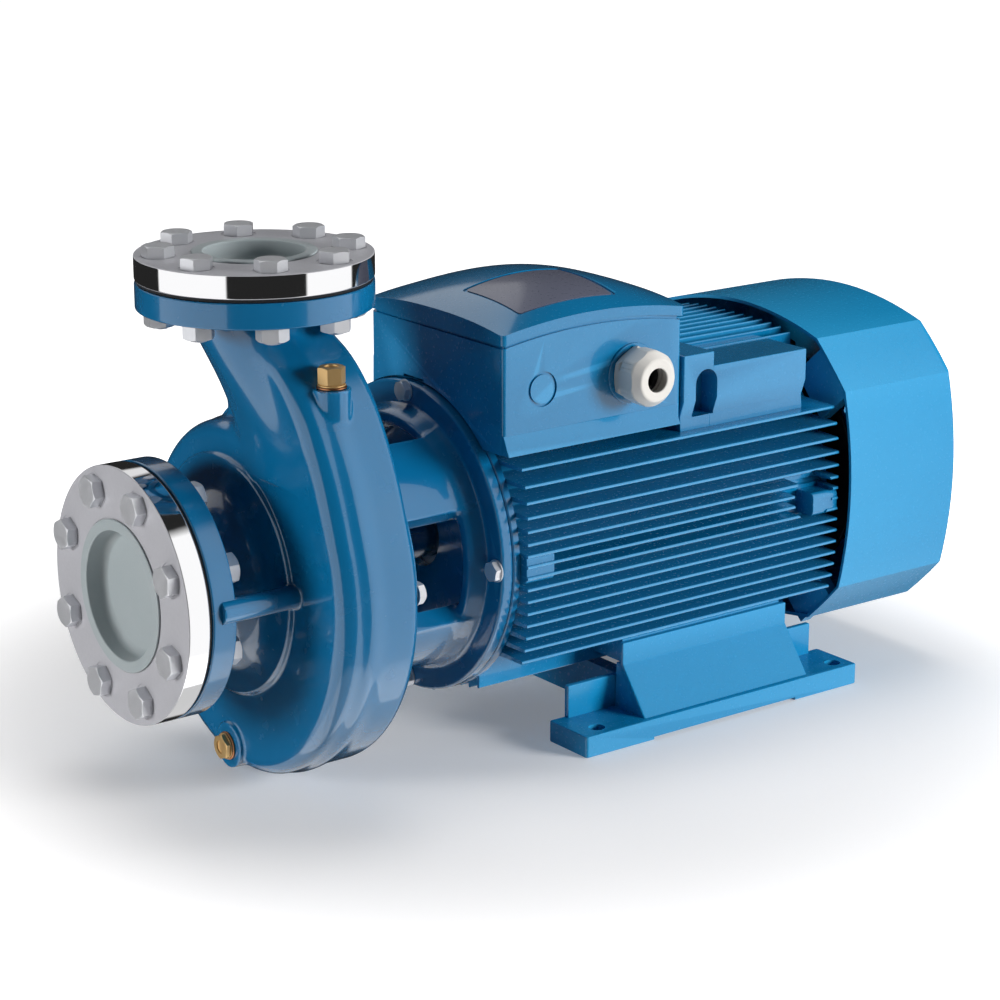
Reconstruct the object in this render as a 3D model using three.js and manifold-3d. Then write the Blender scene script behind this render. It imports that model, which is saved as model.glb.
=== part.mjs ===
// Close-coupled centrifugal water pump: an end-suction volute bolted through a lantern to a
// fan-cooled motor on a cast foot. Millimetres, +Z up, +X along the shaft from suction to fan.
// The dimensions start on the floor, under the shaft, on the centreline of the discharge; the
// finished pump is then moved so that the origin is under the middle of its bounding box.
import * as THREE from "three";
import Module from "manifold-3d";
import { mergeVertices } from "three/addons/utils/BufferGeometryUtils.js";

// ---------------------------------------------------------------- driving dimensions
const SHAFT_HEIGHT = 180; // floor to shaft axis
const MIDDLE = { x: 264.2, y: -7.5 }; // middle of the bounding box, from the discharge and the shaft
const DISCHARGE_HEIGHT = 250; // shaft axis to the casing's discharge face
const SUCTION_LENGTH = 115; // discharge centreline to the casing's suction face
const FIT = 0.2; // clearance between pieces that are clamped together

const SUCTION = { bore: 50, pipe: 57.5, radius: 110, boltCircle: 90, thickness: 22 };
const DISCHARGE = { bore: 40, pipe: 45, radius: 100, boltCircle: 80, thickness: 22 };
const BOLTS_PER_FLANGE = 8;
const BOLT_SHANK = 8; // M16
const BOLT_HOLE = 9;
const HEX_M16 = 24; // across flats
const COUNTER_FLANGE = 20; // thickness
const GASKET = 3;
const CAP = { wall: 2, rim: 7.5, lip: 2.4, depth: 17 };
const RECESS = { depth: 0.6, play: 0.8, spot: 15 }; // for the cap's rim and under each bolt head
const PLUG = { thread: 8, hole: 8.6, length: 8, hex: 20, collar: 11.5, washer: 12.5 };
const PLUG_HEAD = { fill: 18, drain: 8 }; // height above the seat

const SCROLL = { front: -35, back: 42, start: 131, end: 177, wall: 9, corner: 12 };
const TONGUE_ANGLE = 15; // degrees from the top, towards +Y
const NECK_RADIUS = 60; // outside of the neck under the discharge flange
const NOZZLE_RADIUS = 64;

const LANTERN = { face: 43, plate: 15, plateRadius: 150, spigot: 117, ring: 140, ringBore: 104 };
const LANTERN_RING = { front: 152, back: 164 };
const CASING_BOLT = { shank: 5, hex: 17, circle: 141, count: 4 };
const TIE_BOLT = { shank: 5, hex: 16, circle: 132, length: 42, count: 4 };

const MOTOR = { front: 172, back: 532, barrel: 125, bore: 115 };
const FIN = { side: 150, top: 152, bottom: 132, width: 4, topCount: 13, topPitch: 13 }; // tips from the axis
const TIE_LUG = { half: 13, root: 112, reach: 150, topReach: 142, length: 30, rearHalf: 11 };
const STATOR = { bore: 72, front: 250, back: 440, slots: 12 };
const ROTOR_RADIUS = 71.2;
const FOOT = { front: 228, back: 552, side: 162, strip: 48, thickness: 20, relief: 3 };
const FOOT_HOLES = { front: 251, back: 535, side: 147, radius: 7.5 };
const BOX = { front: 160, back: 356, near: -130, far: 64, bottom: 285, rim: 374, arch: 9, wall: 5 };
const LID = { edge: 9, end: 17, middle: 27 }; // heights above the joint: edges, crown at its ends and middle
const GLAND = { x: 300, z: 331, radius: 25, hole: 10 };
const FAN_COVER = { front: 538, back: 676, sheet: 3, edge: 8, slots: 20 };
const FAN = { front: 566, plate: 578, back: 612, hub: 30, hubBack: 604, bore: 17.4, radius: 116, blades: 9 };
const IMPELLER = { radius: 104, hub: 28, bore: 13.4, back: 24, vanes: 6, vane: 4 };
const KEY = { from: -12, to: 18, width: 8, low: 9.3, high: 15.6, play: 0.2 };
const BEARINGS = {
  front: { bore: 22.9, outer: 50, from: 174.5, to: 199.5 },
  rear: { bore: 20.4, outer: 40, from: 512, to: 530 },
};

// ---------------------------------------------------------------- materials
const paint = (color) => new THREE.MeshStandardMaterial({ color, roughness: 0.3, metalness: 0.1 });
const metal = (color, roughness) => new THREE.MeshStandardMaterial({ color, roughness, metalness: 0.9 });
const plastic = (color) => new THREE.MeshStandardMaterial({ color, roughness: 0.45, metalness: 0 });
const BLUE = 0x0a5c96;
const FAN_BLUE = 0x1b86c4;
const STEEL = 0x8a8f94;
const ZINC = 0xc4c8cc;
const BRASS = 0xb98f52;

// ---------------------------------------------------------------- solids
const wasm = await Module();
wasm.setup();
const MERGE = 1e-3; // vertices closer than this are one vertex
const ROUND = 24; // facets of a large round part
const SMALL_ROUND = 8;

/** Closed three.js geometry to a solid, with its faces turned outwards. */
function solid(geometry) {
  const bare = geometry.clone();
  bare.deleteAttribute("normal");
  bare.deleteAttribute("uv");
  const merged = mergeVertices(bare, MERGE);
  const at = merged.attributes.position;
  const corners = [];
  let volume = 0;
  const [a, b, c] = [new THREE.Vector3(), new THREE.Vector3(), new THREE.Vector3()];
  for (let i = 0; i < merged.index.count; i += 3) {
    const [p, q, r] = [0, 1, 2].map((k) => merged.index.getX(i + k));
    if (p === q || q === r || r === p) continue;
    corners.push(p, q, r);
    a.fromBufferAttribute(at, p);
    b.fromBufferAttribute(at, q);
    c.fromBufferAttribute(at, r);
    volume += a.dot(b.cross(c));
  }
  if (volume < 0) corners.reverse();
  const vertProperties = new Float32Array(at.array);
  return new wasm.Manifold(new wasm.Mesh({ numProp: 3, vertProperties, triVerts: new Uint32Array(corners) }));
}

function mesh(name, body, material) {
  const { vertProperties, triVerts } = body.getMesh();
  const geometry = new THREE.BufferGeometry();
  geometry.setAttribute("position", new THREE.BufferAttribute(vertProperties, 3));
  geometry.setIndex(new THREE.BufferAttribute(triVerts, 1));
  geometry.computeVertexNormals();
  const piece = new THREE.Mesh(geometry, material);
  piece.name = name;
  return piece;
}

const join = (bodies) => bodies.reduce((whole, body) => whole.add(body));
const cut = (body, tools) => tools.reduce((rest, tool) => rest.subtract(tool), body);
const degrees = THREE.MathUtils.degToRad;
const ring = (count, from = 0) => Array.from({ length: count }, (_, i) => from + (360 * i) / count);

// Local axes onto the shaft: a lathe's Y, or an extrusion's Z, is laid along +X.
const LATHE_TO_X = new THREE.Matrix4().set(0, 1, 0, 0, 0, 0, 1, 0, 1, 0, 0, 0, 0, 0, 0, 1);
const EXTRUDE_TO_X = new THREE.Matrix4().set(0, 0, 1, 0, 1, 0, 0, 0, 0, 1, 0, 0, 0, 0, 0, 1);
const X_TO_Z = new THREE.Matrix4().makeRotationY(-Math.PI / 2);
const X_TO_MINUS_Y = new THREE.Matrix4().makeRotationZ(-Math.PI / 2);

/** Solid of revolution about X; profile is a list of [x, radius]. */
function turned(profile, segments = ROUND) {
  const points = profile.map(([x, radius]) => new THREE.Vector2(radius, x));
  return solid(new THREE.LatheGeometry(points, segments).applyMatrix4(LATHE_TO_X));
}

/** Plain cylinder along X. */
const rod = (radius, from, to, segments = SMALL_ROUND) =>
  turned([[from, 0], [from, radius], [to, radius], [to, 0]], segments);

/** Tube along X; its profile closes on itself. */
const tube = (outer, inner, from, to, segments = ROUND) =>
  turned([[from, inner], [from, outer], [to, outer], [to, inner], [from, inner]], segments);

/** A (y, z) outline pushed along X. */
function prism(shape, from, to, bevel = 0) {
  const options = {
    depth: to - from - 2 * bevel, steps: 1, curveSegments: 8,
    bevelEnabled: bevel > 0, bevelThickness: bevel, bevelSize: bevel, bevelOffset: -bevel, bevelSegments: 1,
  };
  const geometry = new THREE.ExtrudeGeometry(shape, options).applyMatrix4(EXTRUDE_TO_X);
  return solid(geometry.translate(from + bevel, 0, 0));
}

const outline = (points) => new THREE.Shape(points.map(([y, z]) => new THREE.Vector2(y, z)));

function block(x, y, z) {
  const geometry = new THREE.BoxGeometry(x[1] - x[0], y[1] - y[0], z[1] - z[0]);
  return solid(geometry.translate((x[0] + x[1]) / 2, (y[0] + y[1]) / 2, (z[0] + z[1]) / 2));
}

/** Hexagonal prism along X. */
const hex = (acrossFlats, from, to) => rod(acrossFlats / Math.sqrt(3), from, to, 6);

const moved = (body, x, y, z) => body.translate([x, y, z]);
const turnedBy = (body, angle) => body.rotate([angle, 0, 0]);
const reseated = (body, matrix) => body.transform(matrix.elements);

/** The same body at each angle about the shaft, first placed at the given radius above it. */
const around = (body, radius, angles) => angles.map((angle) => turnedBy(moved(body, 0, 0, radius), angle));

// ---------------------------------------------------------------- pipe connections
/** Round flange along X from 0, with its bolt holes. */
function drilledDisc(size, bore, thickness) {
  const holes = around(rod(BOLT_HOLE, -1, thickness + 1), size.boltCircle, boltAngles());
  return cut(tube(size.radius, bore, 0, thickness), holes);
}

/** Bolts straddle the centrelines. */
function boltAngles() {
  return ring(BOLTS_PER_FLANGE, 180 / BOLTS_PER_FLANGE);
}

/** Push-in transport cap: a dish in the pipe bore with a rim on the flange's face. */
function transportCap(size) {
  const outer = size.pipe - 0.4;
  const inner = outer - CAP.wall;
  const rim = size.pipe + CAP.rim;
  return turned([
    [CAP.depth, 0], [CAP.depth, outer], [-FIT, outer], [-FIT, rim], [-CAP.lip, rim - 1],
    [-CAP.lip, inner], [CAP.depth - CAP.wall, inner], [CAP.depth - CAP.wall, 0],
  ]);
}

/** Hexagon bolt with its nut; the head's underside is at 0 and the grip runs along +X. */
function flangeBolt(grip) {
  return join([
    hex(HEX_M16, -10, 0.01),
    rod(BOLT_SHANK, 0, grip + 15),
    hex(HEX_M16, grip, grip + 13),
  ]);
}

/** Loose flange with shallow recesses in its outer face for the cap's rim and the bolt heads. */
function counterFlange(size) {
  const rimSeat = rod(size.pipe + CAP.rim + RECESS.play, -1, RECESS.depth, ROUND);
  const headSeat = rod(RECESS.spot, -1, RECESS.depth, 16);
  const headSeats = around(headSeat, size.boltCircle, boltAngles());
  return cut(drilledDisc(size, size.pipe, COUNTER_FLANGE), [rimSeat, ...headSeats]);
}

/** Counter flange, gasket, cap and bolts, stacked along +X towards the casing's face at 0. */
function connection(label, size) {
  const group = new THREE.Group();
  const gasketFace = -GASKET;
  const outerFace = gasketFace - COUNTER_FLANGE;
  const seat = outerFace + RECESS.depth;
  const counter = mesh(`${label}_counter_flange`, counterFlange(size), metal(STEEL, 0.3));
  counter.position.x = outerFace;
  const sheet = tube(size.boltCircle - BOLT_HOLE - 1, size.pipe + 1, gasketFace + FIT, -FIT);
  const gasket = mesh(`${label}_gasket`, sheet, plastic(0x1c1e20));
  const cap = mesh(`${label}_cap`, transportCap(size), plastic(0xdde3dc));
  cap.position.x = seat;
  group.add(counter, gasket, cap);
  const grip = size.thickness - seat + 2 * FIT;
  boltAngles().forEach((angle, i) => {
    const spoke = new THREE.Group();
    spoke.rotation.x = degrees(angle);
    const bolt = mesh(`${label}_bolt_${i + 1}`, flangeBolt(grip), metal(ZINC, 0.25));
    bolt.position.set(seat - FIT, 0, size.boltCircle);
    spoke.add(bolt);
    group.add(spoke);
  });
  return group;
}

// ---------------------------------------------------------------- volute casing
/** Outside radius of the scroll at an angle from the top, turning towards +Y and the bottom. */
function scrollRadius(angle) {
  const growth = THREE.MathUtils.smoothstep(angle, 70, 205);
  return SCROLL.start + (SCROLL.end - SCROLL.start) * growth;
}

/** Scroll with its throat, seen along X. The inner side of the throat starts at throatSide. */
function scrollOutline(inset, throat) {
  const shape = new THREE.Shape();
  const steps = 18;
  for (let i = 0; i <= steps; i += 1) {
    const angle = TONGUE_ANGLE + (i * (285 - TONGUE_ANGLE)) / steps;
    const radius = scrollRadius(angle) - inset;
    const [y, z] = [radius * Math.sin(degrees(angle)), radius * Math.cos(degrees(angle))];
    if (i === 0) shape.moveTo(y, z);
    else shape.lineTo(y, z);
  }
  const shoulder = new THREE.SplineCurve([
    new THREE.Vector2(-170 + inset, 48), new THREE.Vector2(-153 + inset, 98),
    new THREE.Vector2(-133 + inset, 132), new THREE.Vector2(-106 + inset, 170),
    new THREE.Vector2(-80 + inset, 199), new THREE.Vector2(-NECK_RADIUS + inset, 210),
  ]);
  shoulder.getPoints(6).slice(1).forEach((point) => shape.lineTo(point.x, point.y));
  shape.lineTo(-NECK_RADIUS + inset, DISCHARGE_HEIGHT - 24);
  throat.forEach(([y, z]) => shape.lineTo(y - inset * 0.9, z));
  return shape;
}

/** Bell that carries the suction flange and widens onto the front of the scroll. */
function suctionBell() {
  const profile = [[-SUCTION_LENGTH, 0], [-SUCTION_LENGTH, SUCTION.radius]];
  const back = SUCTION.thickness - SUCTION_LENGTH;
  profile.push([back, SUCTION.radius], [back, NOZZLE_RADIUS + 6], [back + 6, NOZZLE_RADIUS]);
  const fillet = { x: -78, radius: 118, size: 44 };
  for (let i = 0; i <= 4; i += 1) {
    const turn = degrees(22.5 * i);
    const drop = (fillet.radius - NOZZLE_RADIUS) * Math.cos(turn);
    profile.push([fillet.x + fillet.size * Math.sin(turn), fillet.radius - drop]);
  }
  profile.push([SCROLL.front + 8, 118], [SCROLL.front + 8, 0]);
  return turned(profile);
}

/** Ring of points around an ellipse in a level plane, for the neck's skin. */
function neckSection(z, y, halfX, halfY) {
  return ring(16).map((angle) => {
    const [c, s] = [Math.cos(degrees(angle)), Math.sin(degrees(angle))];
    return new THREE.Vector3(halfX * c, y + halfY * s, z);
  });
}

/** Closed skin through rings of equal length, with flat ends. */
function skin(rings) {
  const count = rings[0].length;
  const positions = rings.flat().flatMap((point) => point.toArray());
  const index = [];
  for (let row = 0; row + 1 < rings.length; row += 1) {
    for (let i = 0; i < count; i += 1) {
      const [a, b] = [row * count + i, row * count + ((i + 1) % count)];
      index.push(a, b, b + count, a, b + count, a + count);
    }
  }
  const last = (rings.length - 1) * count;
  for (let i = 1; i + 1 < count; i += 1) {
    index.push(0, i + 1, i);
    index.push(last, last + i, last + i + 1);
  }
  const geometry = new THREE.BufferGeometry();
  geometry.setAttribute("position", new THREE.Float32BufferAttribute(positions, 3));
  geometry.setIndex(index);
  return solid(geometry);
}

function neck() {
  return skin([
    neckSection(110, -70, 36, 62),
    neckSection(150, -48, 39, 60),
    neckSection(185, -22, 47, 58),
    neckSection(210, -4, 56, 59),
    neckSection(DISCHARGE_HEIGHT - 10, 0, NECK_RADIUS, NECK_RADIUS),
  ]);
}

/** Water way from the impeller chamber up to the discharge. */
function throatBore() {
  const path = new THREE.CatmullRomCurve3([
    new THREE.Vector3(4, -105, 90), new THREE.Vector3(4, -66, 150),
    new THREE.Vector3(2, -22, 195), new THREE.Vector3(0, 0, DISCHARGE_HEIGHT - 10),
    new THREE.Vector3(0, 0, DISCHARGE_HEIGHT + 5),
  ]);
  const round = new THREE.Shape().absarc(0, 0, DISCHARGE.bore - 2, 0, 2 * Math.PI);
  const options = { extrudePath: path, steps: 5, curveSegments: 6, bevelEnabled: false };
  return solid(new THREE.ExtrudeGeometry(round, options));
}

const FILL_BOSS = { x: 0, y: -113, radius: 16, from: 112, top: 179 };
const DRAIN_BOSS = { z: -155, radius: 20, face: SCROLL.front - 4 };
const TAPPING = { y: -106, z: 7, radius: 10, from: -94, to: -30 }; // blind boss for a pressure gauge
const PLUG_ROUND = 12; // facets of a plug's thread and hole

function voluteCasing() {
  const frontOutline = scrollOutline(0, [[40, DISCHARGE_HEIGHT - 24], [6, 165], [-20, 118]]);
  const rearOutline = scrollOutline(0, [[48, DISCHARGE_HEIGHT - 24], [36, 160]]);
  const front = prism(frontOutline, SCROLL.front, 5, SCROLL.corner);
  const rear = prism(rearOutline, -12, SCROLL.back, SCROLL.corner);
  const flange = reseated(drilledDisc(DISCHARGE, 1, DISCHARGE.thickness), X_TO_Z);
  const suctionDrill = around(rod(BOLT_HOLE, -SUCTION_LENGTH - 1, -80), SUCTION.boltCircle, boltAngles());
  const fillBoss = reseated(rod(FILL_BOSS.radius, FILL_BOSS.from, FILL_BOSS.top, 20), X_TO_Z);
  const fillHole = reseated(rod(PLUG.hole, FILL_BOSS.top - 16, FILL_BOSS.top + 1, PLUG_ROUND), X_TO_Z);
  const outside = join([
    front, rear, neck(), suctionBell(),
    tube(LANTERN.plateRadius, LANTERN.spigot, SCROLL.back - 16, SCROLL.back),
    moved(flange, 0, 0, DISCHARGE_HEIGHT - DISCHARGE.thickness),
    reseated(rod(NECK_RADIUS - 2, DISCHARGE_HEIGHT - 24, DISCHARGE_HEIGHT), X_TO_Z),
    moved(fillBoss, FILL_BOSS.x, FILL_BOSS.y, 0),
    moved(rod(DRAIN_BOSS.radius, DRAIN_BOSS.face, 0, 16), 0, 0, DRAIN_BOSS.z),
    moved(rod(TAPPING.radius, TAPPING.from, TAPPING.to), 0, TAPPING.y, TAPPING.z),
  ]);
  const chamber = prism(scrollOutline(SCROLL.wall, [[20, 190], [8, 140]]), -24, 34);
  return cut(outside, [
    chamber,
    rod(SUCTION.bore, -SUCTION_LENGTH - 1, -60, ROUND),
    turned([[-61, 0], [-61, SUCTION.bore], [-30, 46.5], [-20, 46.5], [-20, 0]]),
    rod(LANTERN.spigot + 0.5, 30, SCROLL.back + 1, ROUND),
    throatBore(),
    reseated(rod(DISCHARGE.bore, DISCHARGE_HEIGHT - 16, DISCHARGE_HEIGHT + 1, ROUND), X_TO_Z),
    moved(fillHole, FILL_BOSS.x, FILL_BOSS.y, 0),
    moved(rod(PLUG.hole, DRAIN_BOSS.face - 1, -20, PLUG_ROUND), 0, 0, DRAIN_BOSS.z),
    ...suctionDrill,
    ...casingBoltHoles(SCROLL.back - 13, SCROLL.back + 1),
  ]);
}

/** Hexagon plug: thread from 0 inwards along +X, sealing ring and head on the other side. */
function plug(head) {
  const seat = -2 - FIT;
  return join([
    hex(PLUG.hex, -head, seat),
    rod(PLUG.collar, seat - 1.8, seat, PLUG_ROUND),
    rod(PLUG.thread, seat - 1, PLUG.length, PLUG_ROUND),
  ]);
}

const plugWasher = () => tube(PLUG.washer, PLUG.thread + 0.4, -2, -FIT, PLUG_ROUND);

// ---------------------------------------------------------------- lantern and its fasteners
const CASING_BOLT_ANGLES = ring(CASING_BOLT.count, 0);
const casingBoltHoles = (from, to) =>
  around(rod(CASING_BOLT.shank + 0.8, from, to), CASING_BOLT.circle, CASING_BOLT_ANGLES);
const TIE_ANGLES = ring(TIE_BOLT.count, 0);
const tieHoles = (from, to) => around(rod(TIE_BOLT.shank + 0.6, from, to), TIE_BOLT.circle, TIE_ANGLES);

/** Ring sector about the top, in (y, z), reaching the given angle to each side. */
function sector(inner, outer, reach) {
  const angles = [-reach, 0, reach];
  const arc = (radius) =>
    angles.map(degrees).map((angle) => [radius * Math.sin(angle), radius * Math.cos(angle)]);
  return outline([...arc(inner), ...arc(outer).reverse()]);
}

function lantern() {
  const face = LANTERN.face + FIT;
  const plateBack = face + LANTERN.plate;
  const arm = prism(sector(98, 113, 22), plateBack - 1, LANTERN_RING.front + 1);
  const body = join([
    tube(LANTERN.plateRadius, 26, face, plateBack),
    tube(LANTERN.spigot, 26, 34, face + 1),
    tube(52, 40, plateBack - 1, 92),
    tube(LANTERN.ring, LANTERN.ringBore, LANTERN_RING.front, LANTERN_RING.back),
    tube(118, 96, LANTERN_RING.front - 14, LANTERN_RING.front + 1),
    ...[45, 135, 225, 315].map((angle) => turnedBy(arm, angle)),
  ]);
  return cut(body, [
    rod(30.5, 33, 48.2, ROUND),
    ...casingBoltHoles(LANTERN.face, plateBack + 1),
    ...tieHoles(LANTERN_RING.front - 1, LANTERN_RING.back + 1),
  ]);
}

const casingGasket = () =>
  tube(LANTERN.spigot + 8, LANTERN.spigot + 1, SCROLL.back + FIT, LANTERN.face);

function casingBolt() {
  const seat = LANTERN.face + LANTERN.plate + 2 * FIT;
  return join([hex(CASING_BOLT.hex, seat, seat + 8), rod(CASING_BOLT.shank, SCROLL.back - 11, seat + 1)]);
}

function tieBolt() {
  const seat = LANTERN_RING.front - FIT;
  return join([hex(TIE_BOLT.hex, seat - 7, seat), rod(TIE_BOLT.shank, seat - 1, seat + TIE_BOLT.length)]);
}

// ---------------------------------------------------------------- rotating assembly
const SHAFT_STEPS = [
  [-34, 8], [-21, 8], [-21, 13], [27, 13], [27, 17], [70, 17], [70, 22], [174, 22], [174, 22.5],
  [206, 22.5], [206, 30], [480, 30], [480, 20], [552, 20], [552, 17], [612, 17],
];

function shaft() {
  const body = turned([[-34, 0], ...SHAFT_STEPS, [612, 0]], 16);
  return cut(body, [keyway(9, 20)]);
}

/** Slot for the key, from one height to another above the axis. */
function keyway(low, high) {
  const half = KEY.width / 2 + KEY.play;
  return block([KEY.from - 10, KEY.to + 2], [-half, half], [low, high]);
}

const impellerKey = () => block([KEY.from, KEY.to], [-KEY.width / 2, KEY.width / 2], [KEY.low, KEY.high]);

function impeller() {
  const { radius, hub, bore, back, vanes } = IMPELLER;
  const shroud = [
    [-4, radius], [-8, radius], [-15, 52], [-23, 45.4], [-34, 44.6], [-34, 40], [-12, 42], [-4, radius],
  ];
  const body = join([
    tube(radius, bore, back - 7, back),
    tube(hub, bore, -20, 20),
    turned(shroud),
    ...ring(vanes).map((angle) => turnedBy(impellerVane(), angle)),
  ]);
  return cut(body, [keyway(12, 16.2), moved(keyway(12, 16.2), 5, 0, 0)]);
}

/** One backward-swept vane between the shrouds. */
function impellerVane() {
  const outer = [];
  const inner = [];
  for (let i = 0; i <= 4; i += 1) {
    const radius = 46 + (57 * i) / 4;
    const angle = degrees(18 * i);
    outer.push([radius * Math.sin(angle), radius * Math.cos(angle)]);
    inner.unshift([(radius - IMPELLER.vane) * Math.sin(angle), (radius - IMPELLER.vane) * Math.cos(angle)]);
  }
  return prism(outline([...outer, ...inner]), -7, 18);
}

const impellerNut = () => cut(hex(26, -33, -21 - FIT), [rod(8.7, -40, -20, PLUG_ROUND)]);
const sealRotatingRing = () => tube(27, 17.4, 30, 48, 24);
const sealStationaryRing = () => tube(25.6, 18.2, 48.3, 56, 24);

function rotorCore() {
  return tube(ROTOR_RADIUS, 30.3, STATOR.front, STATOR.back);
}

function coolingFan() {
  const blade = block([FAN.plate + 4, FAN.back], [-1.5, 1.5], [FAN.hub - 2, FAN.radius]);
  return join([
    tube(FAN.hub, FAN.bore, FAN.front, FAN.hubBack),
    tube(FAN.radius, FAN.hub - 2, FAN.plate, FAN.plate + 5),
    ...ring(FAN.blades).map((angle) => turnedBy(blade, angle)),
  ]);
}

// ---------------------------------------------------------------- motor
const COIL = { circle: 92, half: 7, deep: 10, overhang: 34, outer: 103, inner: 79 };

/** The bars of the winding along the motor, or the slots for them when grown. */
function coilBars(grow) {
  const [half, deep] = [COIL.half + grow, COIL.deep + grow];
  const bar = block([STATOR.front - 20, STATOR.back + 20], [-half, half], [-deep, deep]);
  return around(bar, COIL.circle, ring(STATOR.slots));
}

const statorCore = () =>
  cut(tube(MOTOR.bore - 2 * FIT, STATOR.bore + 1, STATOR.front, STATOR.back), coilBars(0.3));

function statorWinding() {
  const front = tube(COIL.outer, COIL.inner, STATOR.front - COIL.overhang, STATOR.front - 2);
  const back = tube(COIL.outer, COIL.inner, STATOR.back + 2, STATOR.back + COIL.overhang);
  return join([front, back, ...coilBars(0)]);
}

const ballBearing = ({ bore, outer, from, to }) => tube(outer, bore, from, to);

/** Heights of the side fins above the shaft: closest at the middle, wider apart at the corners. */
function sideFinHeights() {
  const middle = 2.6;
  const above = [1, 2, 3, 4, 5, 6, 7].map((k) => middle + 9.2 * k + 0.41 * k * k);
  const below = [1, 2, 3, 4, 5, 6, 7, 8].map((k) => middle - 10 * k - 0.12 * k * k);
  return [...below.reverse(), middle, ...above];
}

const topFinPlaces = () =>
  Array.from({ length: FIN.topCount }, (_, i) => (i - (FIN.topCount - 1) / 2) * FIN.topPitch);

/** How far a fin's tip stands from the axis, when the fin is offset from the middle by the given amount. */
const finTip = (offset, reach) => reach - 10 * (offset / 90) ** 4;
const onBarrel = (offset) => Math.sqrt(MOTOR.barrel ** 2 - offset ** 2);

/** Root and tip corners of one fin, from its low side to its high side, as [across, out]. */
function finCorners(offset, reach) {
  const [low, high] = [offset - FIN.width / 2, offset + FIN.width / 2];
  const tip = finTip(offset, reach);
  return [[low, onBarrel(low)], [low, tip], [high, tip], [high, onBarrel(high)]];
}

/** Barrel with level fins on both sides and upright fins above and below. */
function housingOutline() {
  const sides = sideFinHeights().flatMap((offset) => finCorners(offset, FIN.side));
  const top = topFinPlaces().flatMap((offset) => finCorners(offset, FIN.top));
  const bottom = topFinPlaces().flatMap((offset) => finCorners(offset, FIN.bottom));
  return outline([
    ...sides.map(([across, out]) => [out, across]),
    ...top.map(([across, out]) => [across, out]).reverse(),
    ...sides.map(([across, out]) => [-out, across]).reverse(),
    ...bottom.map(([across, out]) => [across, -out]),
  ]);
}

const FLANK = { near: -133, inner: -66, low: 87 }; // cast flank beside the terminal box
const FLANK_STEPS = [{ from: 357, to: 392, high: 158 }, { from: 391, to: 503, high: 145 }];
const FLANK_POCKET = { from: 371, to: 396, low: 102, high: 142, depth: 22 };
const CABLE_HOLE = { x: [270, 300], y: [-20, 20] }; // from the winding up into the terminal box
const FOOT_PAD = { front: 302, back: 490, near: -119.5, low: -118, high: -96 };

/** Square lug on the barrel, above the shaft. */
const upperLug = (from, half, reach) =>
  block([from, from + TIE_LUG.length], [-half, half], [TIE_LUG.root, reach]);

/** The room that the terminal box needs, apart from the barrel and the lug under it. */
function boxRoom() {
  const floor = BOX.bottom - SHAFT_HEIGHT - 1;
  const room = block([BOX.front - 20, BOX.back + 0.6], [BOX.near - 30, BOX.far + 3], [floor, 200]);
  const keep = [
    rod(MOTOR.barrel, MOTOR.front, MOTOR.back, ROUND),
    upperLug(MOTOR.front, TIE_LUG.half, TIE_LUG.topReach),
  ];
  return cut(room, keep);
}

function motorHousing() {
  const lug = upperLug(MOTOR.front, TIE_LUG.half, TIE_LUG.reach);
  const rearLug = upperLug(MOTOR.back - TIE_LUG.length, TIE_LUG.rearHalf, TIE_LUG.reach);
  const pad = block([FOOT_PAD.front, FOOT_PAD.back], [FOOT_PAD.near, -60], [FOOT_PAD.low, FOOT_PAD.high]);
  const pocket = block(
    [FLANK_POCKET.from, FLANK_POCKET.to],
    [FLANK.near - 1, FLANK.near + FLANK_POCKET.depth],
    [FLANK_POCKET.low, FLANK_POCKET.high],
  );
  const body = join([
    prism(housingOutline(), MOTOR.front, MOTOR.back),
    ...TIE_ANGLES.map((angle) => turnedBy(lug, angle)),
    turnedBy(rearLug, 90),
    turnedBy(rearLug, -90),
    pad,
    pad.mirror([0, 1, 0]),
    ...FLANK_STEPS.map(({ from, to, high }) =>
      block([from, to], [FLANK.near, FLANK.inner], [FLANK.low, high]),
    ),
  ]);
  return cut(body, [
    boxRoom(),
    rod(MOTOR.bore, MOTOR.front - 1, MOTOR.back + 1, ROUND),
    pocket,
    block(CABLE_HOLE.x, CABLE_HOLE.y, [MOTOR.bore - 15, MOTOR.barrel + 15]),
    ...tieHoles(MOTOR.front - 1, MOTOR.front + 26),
  ]);
}

function frontEndShield() {
  const [from, to] = [LANTERN_RING.back + FIT, MOTOR.front - FIT];
  const body = join([
    tube(LANTERN.ring, 30, from, to),
    tube(MOTOR.bore - 0.6, 60, to - 1, to + 12),
    tube(BEARINGS.front.outer + 12, BEARINGS.front.outer + 0.3, to - 1, 208),
  ]);
  return cut(body, tieHoles(from - 1, to + 1));
}

function rearEndShield() {
  const from = MOTOR.back + FIT;
  return join([
    tube(128, 24, from, from + 8),
    tube(MOTOR.bore - 0.6, 60, from - 12, from + 1),
    tube(BEARINGS.rear.outer + 16, BEARINGS.rear.outer + 0.3, 510, from + 1),
  ]);
}

/** Fan cover, seen along X: crowned top, two creased shoulders a side and gently bowed sides. */
function coverOutline(inset) {
  const [side, crease, shoulder] = [161 - inset, 149 - inset, 109 - inset / 2];
  const shape = new THREE.Shape();
  shape.moveTo(crease, -86);
  shape.quadraticCurveTo(side + 12, 8, crease, 102);
  shape.lineTo(shoulder, 145 - inset);
  shape.quadraticCurveTo(0, 181 - inset, -shoulder, 145 - inset);
  shape.lineTo(-crease, 102);
  shape.quadraticCurveTo(-side - 12, 8, -crease, -86);
  shape.lineTo(-shoulder, -126 + inset);
  shape.quadraticCurveTo(0, -146 + inset, shoulder, -126 + inset);
  return shape;
}

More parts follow.
